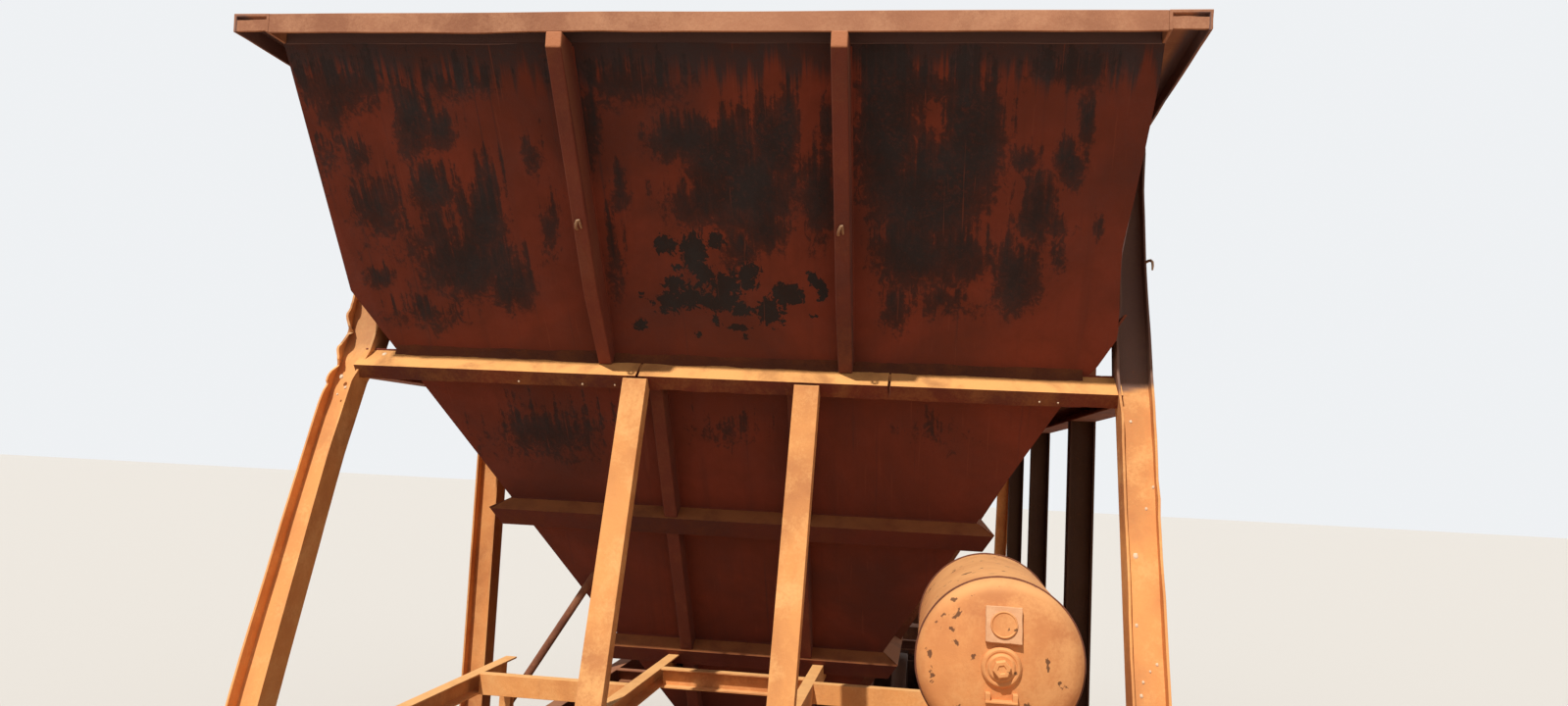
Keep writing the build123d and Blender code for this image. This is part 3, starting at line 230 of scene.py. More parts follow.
paint_end = rusted(
    "end_sheet_steel", "79331f", "58271a", "80422a", dusty=0.22, streak=0.45, stains=True, relief=0.3,
    run_x=0.6,
)
paint_hopper = rusted("hopper_steel", "803e28", "542a1c", "a66a48", dark=0.4, streak=0.6, seed=3.1)
paint_rib = rusted("rib_steel", "8a482c", "5c301f", "be8056", dusty=0.8, dark=0.3, seed=5.7)
paint_rim = rusted("rim_steel", "b27c5c", "926045", "ca9876", dusty=0.8, dark=0.2, streak=0.15, seed=4.4)
paint_frame = rusted("frame_steel", "864a30", "522e20", "b07854", dusty=0.7, dark=0.45, streak=0.3, seed=9.2)
paint_tank = rusted(
    "reservoir_steel", "d89156", "ae6c40", "eeb274", dusty=0.7, dark=0.2, streak=0.15, seed=12.4, relief=0.2,
    chips=0.8,
)
paint_seam = rusted("seam_steel", "703e28", "502c1e", "966042", dusty=0.3, dark=0.4, seed=13.0, relief=0.5)
paint_plate = rusted("plate_steel", "deaa7e", "be865e", "ecc49a", dusty=0.6, dark=0.2, streak=0.1, seed=14.1)
casting = rusted(
    "cast_steel", "603929", "38241c", "8e644a", dusty=0.65, dark=0.5, streak=0.2, seed=15.3, relief=0.5,
)
paint_stiffener = rusted(
    "stiffener_steel", "703221", "52261a", "bc7c56", dark=0.25, streak=0.3, seed=10.1, film=0.35, run_x=0.6,
)
spring_steel = rusted("spring_steel", "543224", "2e1f19", "78543e", dusty=0.4, dark=0.5, seed=17.9)
wheel_steel = rusted(
    "wheel_steel", "623e2e", "3c281f", "845e46", dusty=0.4, dark=0.4, seed=21.0, rough=0.7, metallic=0.35,
)
paint_waist = rusted(
    "waist_steel", "702c16", "542213", "ecac66", dusty=0.95, dark=0.2, streak=0.2, seed=6.6, film=0.2,
)
POST_COLOURS = ("de9958", "b07042", "f4bc7a")
paint_post = rusted("post_steel", *POST_COLOURS, dusty=0.85, dark=0.25, streak=0.3, seed=8.3)
# Side posts: the post paint, with painted shade on the right-hand (+y) ones
paint_side_post = rusted("side_post_steel", *POST_COLOURS, dusty=0.6, streak=0.3, seed=8.9, painted_shade_right=0.93)
paint_ring = rusted(
    "ring_steel", "622412", "4a1d10", "c47c46", dusty=0.6, dark=0.2, streak=0.2, seed=7.3, film=0.15,
)
packed_dirt = rusted(
    "packed_dirt", "5e2e1a", "462315", "a06238", dusty=0.35, dark=0.3, seed=26.2, rough=0.95, relief=0.8,
)
pale_spots = rusted("pale_spots", "dec8ac", "bea082", "ecdcc4", dusty=0.4, dark=0.1, seed=27.7)
bare_bar = rusted(
    "bar_steel", "c49e7a", "825e44", "d6b896", dusty=0.4, dark=0.3, seed=2.2, rough=0.6, metallic=0.4,
)
door_steel = rusted("door_steel", "6a3c2a", "42281d", "96684c", dusty=0.55, dark=0.5, seed=23.8)

BY_SLOT = {
    "hopper_paint": paint_hopper, "rib_paint": paint_rib, "frame_paint": paint_frame,
    "reservoir_paint": paint_tank, "door_paint": door_steel, "bogie_casting": casting,
    "coupler_casting": casting, "spring_steel": spring_steel, "axle_steel": wheel_steel,
    "wheel_steel": wheel_steel,
}
for part in frame["record"]["subparts"]:
    wear(nodes[part["node"]], BY_SLOT[part["material_slot"]])
wear(nodes["chute_ends"], paint_end)
for name in ("end_posts", "spare_rack", "reservoir_rack", "end_struts", "strut_links"):
    wear(nodes[name], paint_post)
wear(nodes["side_posts"], paint_side_post)
wear(nodes["hopper_rings_end"], paint_ring)


# Sizes that the pieces share with the solids

HALF_LENGTH = 4.300
HALF_WIDTH = 1.475
RIM_TOP = 3.750
RIM_HEIGHT = 0.060
RIM_BOTTOM = RIM_TOP - RIM_HEIGHT
RIM_WALL = 0.010
END_RIM_WIDTH = 0.110
SHEET = 0.008
SHEET_Y = 1.363
SIDE_RIM_WIDTH = HALF_WIDTH - SHEET_Y + SHEET
END_RUN = 0.75
END_TOP_X = HALF_LENGTH - END_RIM_WIDTH + RIM_WALL
END_THICK = SHEET * math.hypot(1.0, END_RUN)
SIDE_BEND_Z = 2.970
SIDE_RUN = 0.61
CHUTE_HALF = 0.330
CHUTE_TOP = SIDE_BEND_Z - (SHEET_Y - CHUTE_HALF) / SIDE_RUN
WAIST_EDGE_Z = 2.715
WAIST_REACH = 0.110
WAIST_FLANGE = 0.062
WAIST_ROOT_Z = WAIST_EDGE_Z + WAIST_REACH * 0.6 - 0.009
RING_ROOTS = (2.235, 1.665)
POST_FRONT_X = 3.610
POST_WIDTH = 0.112
POST_WALL = 0.008
POST_LEAN = 0.36
POST_RUN = 0.110 * math.hypot(1.0, POST_LEAN)
POST_FOOT_Z = 0.840
UPPER_STIFFENER_Y = 0.4315
LOWER_STIFFENER_Y = 0.250
STIFFENER_HALF = 0.025
STIFFENER_DEPTH = 0.068
UPPER_DEPTH = 0.098
UPPER_HEAD = 0.048
STATIONS = (-2.08, -1.04, 0.0, 1.04, 2.08)
TANK_Y = 0.952
TANK_Z = 1.902
TANK_RADIUS = 0.235
TANK_FRONT = 4.150
TANK_LENGTH = 0.830
TANK_DOME = 0.092
TANK_KNUCKLE = 0.060
TANK_FLAT = TANK_RADIUS - TANK_KNUCKLE
TANK_CROWN = (TANK_DOME**2 + TANK_FLAT**2 - TANK_KNUCKLE**2) / (2 * (TANK_DOME - TANK_KNUCKLE))
BOGIE_X = 2.950
AXLE_OFFSET = 0.7875
AXLE_Z = 0.447
JOURNAL_Y = 0.810
SPRING_SEAT_Z = 0.265
SPRING_TOP_Z = 0.445
SPRING_RADIUS = 0.046
SPRING_PITCH = 0.156

END_OUT = Vector((0.8, 0.0, -0.6))
END_UP = Vector((0.6, 0.0, 0.8))
ENDS = (("front", 1), ("rear", -1))
CORNERS = ((1, 1), (1, -1), (-1, 1), (-1, -1))


def end_x(z):
    """Outer face of the front end sheet at a height."""
    return END_TOP_X - END_RUN * (RIM_BOTTOM - z)


def side_y(z):
    """Outer face of the side sheets at a height."""
    if z >= SIDE_BEND_Z:
        return SHEET_Y
    return max(SHEET_Y - SIDE_RUN * (SIDE_BEND_Z - z), CHUTE_HALF)


def post_x(z):
    """Front of the front corner posts at a height."""
    return POST_FRONT_X + POST_LEAN * (WAIST_EDGE_Z - z)


# The photograph's own pixels

def pixel_of(point):
    """Where a point shows in the photograph."""
    away = Vector(point) - CAMERA_AT
    deep = -away.dot(CAMERA_BACK)
    across = away.dot(CAMERA_RIGHT) / deep
    up = away.dot(CAMERA_UP) / deep
    return MIDDLE_PX[0] + FOCAL_PX * across, MIDDLE_PX[1] - FOCAL_PX * up


def seen(px, py, normal, through):
    """Where the line of sight of a pixel meets the plane with a normal through a point."""
    sight = CAMERA_RIGHT * (px - MIDDLE_PX[0]) - CAMERA_UP * (py - MIDDLE_PX[1]) - CAMERA_BACK * FOCAL_PX
    return CAMERA_AT + sight * (normal.dot(through - CAMERA_AT) / normal.dot(sight))


# Mesh building

def ripple(x, y, z, seed=0.0):
    """Smooth noise from -1 to 1."""
    return noise.noise(Vector((x + seed, y - seed * 0.7, z + seed * 0.3)))


def wave(t, seed):
    """Smooth noise from -1 to 1 along a line."""
    return ripple(t, 0.0, 0.0, seed)


def share_of(value):
    """Value held between 0 and 1."""
    return min(max(value, 0.0), 1.0)


def bump(value, centre, reach):
    """1 at the centre, falling smoothly to 0 at the reach on either side."""
    away = abs(value - centre) / reach
    return 0.0 if away >= 1.0 else (math.cos(math.pi * away) + 1.0) / 2.0


def steps(start, end, size):
    """Even stations from start to end, no further apart than size."""
    count = max(1, math.ceil(abs(end - start) / size))
    return [start + (end - start) * k / count for k in range(count + 1)]


def split(outline, size):
    """Closed outline with points added so that no run is longer than size."""
    points = []
    for (u0, v0), (u1, v1) in zip(outline, outline[1:] + outline[:1]):
        count = max(1, math.ceil(math.hypot(u1 - u0, v1 - v0) / size))
        points += [(u0 + (u1 - u0) * k / count, v0 + (v1 - v0) * k / count) for k in range(count)]
    return points


def block(left, right, low, high):
    """Outline of a rectangle."""
    return [(left, low), (right, low), (right, high), (left, high)]


def channel(width, depth, wall):
    """Outline of a rolled channel: web along u, toes at v = depth."""
    return [
        (0, 0), (width, 0), (width, depth), (width - wall, depth),
        (width - wall, wall), (wall, wall), (wall, depth), (0, depth),
    ]


def beam(width, depth, wall):
    """Outline of a rolled beam: flanges across u at both ends of v, web in the middle of u."""
    left = (width - wall) / 2
    right = (width + wall) / 2
    return [
        (0, 0), (width, 0), (width, wall), (right, wall), (right, depth - wall), (width, depth - wall),
        (width, depth), (0, depth), (0, depth - wall), (left, depth - wall), (left, wall), (0, wall),
    ]


def add_bar(mesh, outline, stations, place):
    """Bar whose closed outline is placed at each station by place(u, v, t)."""
    join_rings(mesh, [[mesh.verts.new(place(u, v, t)) for u, v in outline] for t in stations])


def add_slab(mesh, columns, rows, outer, inner):
    """Closed plate between two grids of points, each a function of column and row."""
    sheets = [[[mesh.verts.new(face(c, r)) for c in columns] for r in rows] for face in (outer, inner)]
    last_c = len(columns) - 1
    last_r = len(rows) - 1
    for grid in sheets:
        for j in range(last_r):
            for i in range(last_c):
                mesh.faces.new((grid[j][i], grid[j][i + 1], grid[j + 1][i + 1], grid[j + 1][i]))
    a, b = sheets
    for i in range(last_c):
        for j in (0, last_r):
            mesh.faces.new((a[j][i], a[j][i + 1], b[j][i + 1], b[j][i]))
    for j in range(last_r):
        for i in (0, last_c):
            mesh.faces.new((a[j][i], a[j + 1][i], b[j + 1][i], b[j][i]))


def square_to(axis):
    """Unit axis with two unit vectors square to it."""
    axis = Vector(axis).normalized()
    side = axis.cross(Vector((0, 0, 1)))
    if side.length < 0.1:
        side = axis.cross(Vector((0, 1, 0)))
    side.normalize()
    return axis, side, axis.cross(side)


def add_ring(mesh, centre, side, other, radius, sides, turn=0.0):
    """Ring of points about a centre."""
    ring = []
    for k in range(sides):
        angle = turn + 2 * math.pi * k / sides
        ring.append(mesh.verts.new(centre + (side * math.cos(angle) + other * math.sin(angle)) * radius))
    return ring


def join_rings(mesh, rings):
    """Skin from ring to ring, each of them a loop or a single point, closed at both ends."""
    for ring, following in zip(rings, rings[1:]):
        count = max(len(ring), len(following))
        for k in range(count):
            n = (k + 1) % count
            if len(ring) == 1:
                mesh.faces.new((ring[0], following[k], following[n]))
            elif len(following) == 1:
                mesh.faces.new((ring[k], ring[n], following[0]))
            else:
                mesh.faces.new((ring[k], ring[n], following[n], following[k]))
    for ring in (rings[0], rings[-1]):
        if len(ring) > 1:
            mesh.faces.new(ring)


def add_turned(mesh, profile, origin, axis, sides=48, turn=0.0):
    """Solid turned about an axis from (distance along it, radius) points."""
    axis, side, other = square_to(axis)
    rings = []
    for distance, radius in profile:
        centre = Vector(origin) + axis * distance
        if radius == 0:
            rings.append([mesh.verts.new(centre)])
        else:
            rings.append(add_ring(mesh, centre, side, other, radius, sides, turn))
    join_rings(mesh, rings)


def add_tube(mesh, points, radii, sides=8):
    """Round bar along points, its radius given at each of them."""
    points = [Vector(p) for p in points]
    heading = (points[1] - points[0]).normalized()
    _, side, _ = square_to(heading)
    rings = []
    for k, point in enumerate(points):
        ahead = points[min(k + 1, len(points) - 1)]
        behind = points[max(k - 1, 0)]
        heading = (ahead - behind).normalized()
        side = (side - heading * side.dot(heading)).normalized()
        rings.append(add_ring(mesh, point, side, heading.cross(side), radii[k], sides))
    join_rings(mesh, rings)


def add_weld(mesh, start, end, size=0.004, seed=0.0):
    """Weld bead along a line, lumpy as laid by hand."""
    start, end = Vector(start), Vector(end)
    points = [start.lerp(end, t) for t in steps(0.0, 1.0, 0.012 / (end - start).length)]
    radii = [size * (1.0 + 0.35 * ripple(p.x * 70, p.y * 70, p.z * 70, seed)) for p in points]
    add_tube(mesh, points, radii, 6)


def linked(name, data):
    obj = bpy.data.objects.new(name, data)
    bpy.context.scene.collection.objects.link(obj)
    return obj


def finished(name, mesh, material, body=BODY, replaced=None, edge=0.0, crease=35.0):
    """Piece of the wagon made of a mesh, its edges rounded by a width where one is given."""
    bmesh.ops.recalc_face_normals(mesh, faces=mesh.faces)
    data = bpy.data.meshes.new(name)
    mesh.to_mesh(data)
    mesh.free()
    data.shade_smooth()
    data.set_sharp_from_angle(angle=math.radians(crease))
    piece = linked(name, data)
    if edge:
        rounded(piece, edge)
    wear(piece, material)
    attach(piece, body)
    if replaced:
        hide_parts(replaced)
    return piece


def mark(piece, name, amount):
    """Write a value on each vertex, given by amount(x, y, z)."""
    layer = piece.data.attributes.new(name, "FLOAT", "POINT")
    for k, vertex in enumerate(piece.data.vertices):
        layer.data[k].value = amount(*vertex.co)


def rounded(obj, width):
    """Edges worn or rolled round."""
    bevel = obj.modifiers.new("rounded", "BEVEL")
    bevel.width = width
    bevel.segments = 2
    bevel.limit_method = "ANGLE"
    bevel.angle_limit = math.radians(38.0)
    bevel.harden_normals = True


def along(table, value, column):
    """Column of a table of rising values, read between its rows, 0 beyond its ends."""
    if value <= table[0][0] or value >= table[-1][0]:
        return 0.0
    for low_row, high_row in zip(table, table[1:]):
        if value <= high_row[0]:
            share = (value - low_row[0]) / (high_row[0] - low_row[0])
            return low_row[column] + (high_row[column] - low_row[column]) * share


# Hopper sheets, slightly buckled between what holds them

def held(value, lines, reach=0.16):
    """0 on the lines that hold a sheet, 1 well away from them."""
    near = min(abs(value - line) for line in lines) / reach
    return 1.0 if near >= 1.0 else near * near * (3.0 - 2.0 * near)


def end_buckle(y, z):
    """How far the end sheet stands out of its plane."""
    upright = UPPER_STIFFENER_Y if z > WAIST_ROOT_Z else LOWER_STIFFENER_Y
    across = held(y, (upright, -upright, side_y(z), -side_y(z)))
    up = held(z, (RIM_BOTTOM, WAIST_ROOT_Z, CHUTE_TOP) + RING_ROOTS)
    return across * up * (0.004 + 0.008 * ripple(y * 1.9, z * 1.9, 0.0, 3.3))


# Stains of the photographed end by strength, in pixels: middle across and down, reach across and down

STAINS = {
    1.25: ((790, 141, 21, 44), (904, 124, 30, 104), (992, 136, 31, 66), (946, 194, 56, 54)),
    1.2: ((735, 160, 36, 50), (762, 192, 46, 48)),
    1.15: ((492, 222, 22, 52),),
    1.1: ((478, 268, 48, 38), (702, 140, 40, 26)),
    1.05: ((930, 254, 44, 52),),
    1.0: ((420, 118, 20, 46), (780, 233, 27, 32), (1036, 278, 28, 42), (1093, 164, 18, 27),
        (1108, 122, 10, 32)),
    0.95: ((441, 192, 30, 28), (520, 288, 28, 36), (720, 202, 48, 34), (836, 192, 20, 62),
        (1055, 219, 20, 48)),
    0.9: ((450, 134, 19, 24), (388, 284, 16, 13), (757, 252, 28, 26), (842, 130, 10, 44)),
    0.85: ((914, 312, 22, 30), (982, 256, 46, 54), (1046, 162, 21, 17), (930, 86, 80, 34)),
    0.8: ((366, 158, 15, 24), (384, 214, 30, 44), (544, 152, 16, 32), (1081, 262, 15, 26),
        (1121, 233, 7, 22), (560, 440, 70, 34), (350, 86, 62, 40), (640, 84, 70, 30)),
    0.75: ((560, 226, 13, 46), (340, 112, 26, 40), (632, 190, 12, 44), (1077, 233, 22, 17),
        (600, 130, 14, 60), (1090, 72, 60, 24)),
    0.72: ((452, 238, 56, 60),),
    0.7: ((440, 320, 60, 22), (628, 260, 14, 60)),
    0.68: ((960, 306, 66, 32), (460, 84, 60, 26)),
    0.62: ((336, 150, 26, 70),),
    0.6: ((740, 440, 60, 24), (960, 440, 50, 24)),
}
# Crisp bare flakes low in the middle panel, in the same way
FLAKES = {
    1.25: ((801, 302, 14, 10), (787, 317, 13, 13)),
    1.2: ((677, 249, 9, 9), (707, 258, 13, 18), (690, 273, 4, 4), (688, 289, 11, 7), (702, 303, 17, 11),
        (682, 308, 12, 10), (755, 317, 10, 5), (763, 280, 11, 13), (826, 280, 4, 4), (834, 289, 5, 7),
        (839, 300, 5, 7), (830, 323, 3, 3), (652, 331, 7, 5), (752, 334, 11, 3), (730, 326, 4, 4),
        (761, 344, 4, 2)),
    1.1: ((729, 246, 10, 8), (719, 279, 12, 9), (732, 307, 21, 10), (654, 300, 4, 3), (713, 342, 5, 3)),
    1.0: ((738, 290, 18, 11),),
}
# Rows between which the film under the rim fades
FILM_TOP = 48
FILM_LOW = 104


def spot_field(spots, px, py):
    """Strongest spot at a pixel, 0.5 at the edge of a spot of strength 1, and its middle row."""
    best = (0.0, py)
    for strength, places in spots.items():
        for middle, row, across, down in places:
            value = strength * (1.0 - 0.5 * math.hypot((px - middle) / across, (py - row) / down))
            if value > best[0]:
                best = (value, row)
    return best


def carry_stains(piece, sign):
    """Write on the sheet's outer vertices how far they are stained, at the rear as at the front."""
    make = piece.data.attributes.new
    layers = {name: make(name, "FLOAT", "POINT") for name in ("stain", "hang", "flake", "film")}
    outer_count = len(piece.data.vertices) // 2
    for k, vertex in enumerate(piece.data.vertices[:outer_count]):
        x, y, z = vertex.co
        px, py = pixel_of((abs(x), y * sign, z))
        value, row = spot_field(STAINS, px, py)
        layers["stain"].data[k].value = value
        layers["hang"].data[k].value = min(max((row - py) / 40.0 + 0.15, 0.0), 0.4) if value > 0.05 else 0.0
        layers["flake"].data[k].value = spot_field(FLAKES, px, py)[0]
        layers["film"].data[k].value = share_of((FILM_LOW - py) / (FILM_LOW - FILM_TOP))


# Front right corner of the hopper by height: how far it is dented in, and how far its foot stands out
CORNER_DENT = (
    (2.925, 0.0), (2.97, 0.028), (3.02, 0.034), (3.10, 0.041), (3.17, 0.047), (3.28, 0.030), (3.39, 0.019),
    (3.47, 0.012), (3.60, 0.0),
)
CORNER_FOOT = ((2.76, 0.010), (2.80, 0.024), (2.89, 0.023), (2.93, 0.0))


def corner_in(x, z):
    """How far the front right corner is pushed in, fading along the side and across the end."""
    near = max(0.0, 1.0 - (end_x(z) - x) / 0.55)
    return along(CORNER_DENT, z, 1) * near * near


def end_sheet(name, sign):
    mesh = bmesh.new()
    fine = 0.012 if sign > 0 else 0.02
    rows = steps(RIM_BOTTOM, SIDE_BEND_Z, fine) + steps(SIDE_BEND_Z, WAIST_ROOT_Z, fine)[1:]
    rows += steps(WAIST_ROOT_Z, CHUTE_TOP, 0.04)[1:]
    columns = steps(-1.0, 1.0, fine)

    def face(back):
        def place(share, z):
            y = share * side_y(z)
            out = end_buckle(y, z)
            if sign > 0 and share > 0.75:
                y -= (corner_in(end_x(z), z) - along(CORNER_FOOT, z, 1)) * ((share - 0.75) / 0.25) ** 3
            drop = out * 0.6 * held(z, (RIM_BOTTOM, CHUTE_TOP))
            return Vector((sign * (end_x(z) - back + out * 0.8), y, z - drop))
        return place

    add_slab(mesh, columns, rows, face(0.0), face(END_THICK))
    carry_stains(finished(name + "_plate", mesh, paint_end, replaced=name), sign)


def side_sheet(name, sign):
    mesh = bmesh.new()
    posts = (post_x(3.3), -post_x(3.3), end_x(3.3), -end_x(3.3))
    rows = steps(RIM_BOTTOM, SIDE_BEND_Z, 0.05)
    columns = steps(-1.0, 1.0, 0.012)

    def face(back):
        def place(share, z):
            x = share * (end_x(z) - END_THICK)
            swell = held(x, STATIONS + posts, 0.52) * held(z, (RIM_BOTTOM, SIDE_BEND_Z), 0.36)
            out = swell * (0.006 + 0.006 * ripple(x * 1.3, z * 2.0, 0.0, 8.1 + sign))
            if sign > 0:
                out -= corner_in(x, z)
                z -= corner_in(x, SIDE_BEND_Z) / SIDE_RUN * max(0.0, 1.0 - (z - SIDE_BEND_Z) / 0.15)
                x = share * (end_x(z) - END_THICK)
            return Vector((x, sign * (SHEET_Y - back + out), z))
        return place

    add_slab(mesh, columns, rows, face(0.0), face(SHEET))
    finished(name + "_plate", mesh, paint_hopper, replaced=name)


end_sheet("end_sheet_front", 1)
end_sheet("end_sheet_rear", -1)
side_sheet("side_sheet_right", 1)
side_sheet("side_sheet_left", -1)


# Rim channels, bent a little by loading

def rim_sides():
    mesh = bmesh.new()
    outline = split(channel(SIDE_RIM_WIDTH, RIM_HEIGHT, RIM_WALL), 0.03)
    for sign in (1, -1):
        def place(u, v, x):
            sag = 0.003 * (1.0 + wave(x * 0.9, sign * 5.0))
            toe = 0.004 * (1.0 + wave(x * 3.1, sign * 9.0)) * (v / RIM_HEIGHT) * (u / SIDE_RIM_WIDTH)
            lip = 0.002 * ripple(x * 7.0, u * 3.0, 0.0, sign * 2.0) * (v / RIM_HEIGHT)
            return Vector((x, sign * (SHEET_Y - SHEET + u * 0.996 - toe), RIM_TOP - v - sag + lip))
        add_bar(mesh, outline, steps(-HALF_LENGTH, HALF_LENGTH, 0.07), place)
    piece = finished("rim_side_channels", mesh, paint_rim, replaced="rim_sides", edge=0.002)

    # Painted shade inside the side channels, under their webs
    def painted_shade_inside(x, y, z):
        inside = z < RIM_TOP - RIM_WALL * 0.7 and SHEET_Y + 0.07 < abs(y) < HALF_WIDTH - 0.006
        return 0.85 if inside else 0.0
    mark(piece, "painted_shade", painted_shade_inside)


def rim_ends():
    mesh = bmesh.new()
    outline = split(channel(END_RIM_WIDTH, RIM_HEIGHT, RIM_WALL), 0.03)
    half = SHEET_Y - SHEET
    for sign in (1, -1):
        def place(u, v, y):
            low = v / RIM_HEIGHT
            ends = held(y, (-half, half), 0.12)
            sag = 0.003 * (1.0 + wave(y * 1.7, sign * 4.0))
            lip = ends * low * 0.004 * wave(y * 5.3, sign * 6.0)
            dent = 0.005 * (1.0 + wave(y * 2.6, sign * 3.0)) * low * (1.0 - u / END_RIM_WIDTH) * ends
            return Vector((sign * (HALF_LENGTH - u - dent), y, RIM_TOP - v - sag + lip))
        add_bar(mesh, outline, steps(-half, half, 0.045), place)
    piece = finished("rim_end_channels", mesh, paint_rim, replaced="rim_ends", edge=0.002)

    # Painted shade on the inner faces of the end channels, under their webs
    def painted_shade_inside(x, y, z):
        low = (RIM_TOP - z) / RIM_HEIGHT
        wall = RIM_WALL * 0.8
        inside = low > 0.15 and wall + 0.009 * low < HALF_LENGTH - abs(x) < END_RIM_WIDTH - wall
        return 0.9 if inside else 0.0
    mark(piece, "painted_shade", painted_shade_inside)


def rim_corner_caps():
    """Plates that close the side channels at the corners, short of the web above them."""
    mesh = bmesh.new()
    gap = 0.012
    front = HALF_LENGTH - 0.0015
    outline = split(block(0.002, 0.118, 0.0, 0.036), 0.02)
    for end, side in CORNERS:
        def place(u, v, t):
            shake = 0.0012 * ripple(u * 40, v * 40, side * 3.0, end * 2.0)
            top = RIM_TOP - RIM_WALL - gap - 0.002 * u / SIDE_RIM_WIDTH
            return Vector((end * (front - t + shake), side * (SHEET_Y - SHEET + u), top - v + shake))
        add_bar(mesh, outline, (0.0, 0.009), place)
    finished("rim_corner_caps", mesh, paint_rim, edge=0.0015)


rim_sides()
rim_ends()
rim_corner_caps()


# Stiffeners of the ends: the upper ones deepen from a snipped foot to a head cut flush with the rim

def upper_outline():
    """Side view of an upper stiffener: x and z of its corners, from its foot up and back down."""
    def off_sheet(depth, up):
        spot = END_OUT * depth + END_UP * up
        return end_x(WAIST_ROOT_Z) + spot.x, WAIST_ROOT_Z + spot.z

    front = HALF_LENGTH - 0.002
    top = RIM_BOTTOM - 0.0005
    low = top - UPPER_HEAD
    return [
        (end_x(WAIST_ROOT_Z) - 0.002, WAIST_ROOT_Z), off_sheet(0.045, 0.001), off_sheet(0.0935, 0.315),
        (front - 0.004, low - 0.005), (front, low), (front, top), (end_x(top) - 0.002, top),
    ]


def lower_outline():
    foot_x = end_x(CHUTE_TOP)
    depth_x = STIFFENER_DEPTH / 0.8
    top = WAIST_ROOT_Z - 0.012
    out = END_OUT * STIFFENER_DEPTH
    return [
        (end_x(top) - 0.002, top), (end_x(top) + out.x, top + out.z), (foot_x + depth_x, CHUTE_TOP),
        (foot_x - 0.002, CHUTE_TOP),
    ]


def end_stiffeners():
    mesh = bmesh.new()
    for sign in (1, -1):
        for middle, outline, cells in (
            (UPPER_STIFFENER_Y, upper_outline(), 0.08), (LOWER_STIFFENER_Y, lower_outline(), 0.12),
        ):
            for side in (1, -1):
                def place(x, z, t):
                    worn = 0.0012 * ripple(z * 5.0, side * 3.0, sign * 4.0, t * 30)
                    return Vector((sign * x, side * middle + t + worn, z))
                add_bar(mesh, split(outline, cells), (-STIFFENER_HALF, STIFFENER_HALF), place)
    piece = finished(
        "end_stiffener_bars", mesh, paint_stiffener, replaced="end_stiffeners", edge=0.005
    )
    # Stiffener heads flush with the rim: pale dust, partly a painted highlight of the sun on their fronts
    mark(piece, "dust_and_highlight", lambda x, y, z: 0.9 if abs(x) > HALF_LENGTH - 0.003 else 0.0)


end_stiffeners()


# Waist beams: the front one has two cracks and a ragged lower edge

WAIST_CRACKS = (-0.301, 0.586)
CRACK_HALF = 0.005


def waist_beams():
    mesh = bmesh.new()
    outline = split(channel(WAIST_REACH, WAIST_FLANGE, POST_WALL), 0.02)
    stations = steps(-SHEET_Y, SHEET_Y, 0.02)
    for crack in WAIST_CRACKS:
        stations += [crack + CRACK_HALF * share for share in (-1.0, -0.4, 0.4, 1.0)]
    stations = sorted(set(stations))
    root = end_x(WAIST_ROOT_Z)
    for sign in (1, -1):
        def place(u, v, y):
            edge = u / WAIST_REACH
            low = v / WAIST_FLANGE
            ragged = 0.004 * wave(y * 9.0, 1.7) + 0.0025 * wave(y * 41.0, 4.4)
            down = v + (ragged - 0.003) * low * edge
            out = u - 0.003 * (1.0 + ripple(y * 3.0, v * 9.0, 0.0, sign * 7.0)) * low * edge
            if sign > 0:
                for crack in WAIST_CRACKS:
                    open_by = (1.0 if abs(y - crack) < CRACK_HALF * 0.5 else 0.0) * bump(v, 0.0, 0.045)
                    out -= 0.040 * open_by * edge
                    down += 0.006 * open_by * edge
            spot = END_OUT * out - END_UP * down
            return Vector((sign * (root + spot.x), y, WAIST_ROOT_Z + spot.z))
        add_bar(mesh, outline, stations, place)
    finished("waist_beam_channels", mesh, paint_waist, replaced="waist_beams", edge=0.0015)


def waist_fillets():
    """Weld with dirt settled over it, in the corner between each waist beam's web and the sheet."""
    mesh = bmesh.new()
    root = end_x(WAIST_ROOT_Z)
    half = side_y(WAIST_ROOT_Z) - 0.004
    for sign in (1, -1):
        def place(u, v, y):
            lump = 1.0 + 0.22 * wave(y * 6.0, sign * 2.0) + 0.12 * ripple(y * 31.0, v * 40.0, 0.0, 5.0)
            spot = END_OUT * (u * lump - 0.003) + END_UP * (v * lump - 0.003)
            return Vector((sign * (root + spot.x), y, WAIST_ROOT_Z + spot.z))
        outline = [(0.0, 0.0), (0.038, 0.0), (0.030, 0.006), (0.016, 0.013), (0.007, 0.022), (0.0, 0.034)]
        add_bar(mesh, outline, steps(-half, half, 0.012), place)
    finished("waist_fillets", mesh, packed_dirt, crease=60.0)


waist_beams()
waist_fillets()


# Corner posts: the front left one is bent back, with its outer flange torn and curled at the waist,
# the front right one is pushed in

# Tears in the left post's outer flange: height, reach, depth
TORN_EDGE = (
    (3.00, 0.034, 0.014), (2.925, 0.020, 0.008), (2.838, 0.014, 0.036), (2.79, 0.018, 0.008),
    (2.705, 0.022, 0.020), (2.63, 0.016, 0.010),
)
# What is left of the outer flange between the tears: height, reach, share
TORN_LOBES = ((2.905, 0.062, 1.0), (2.772, 0.056, 0.85), (2.66, 0.045, 0.7))

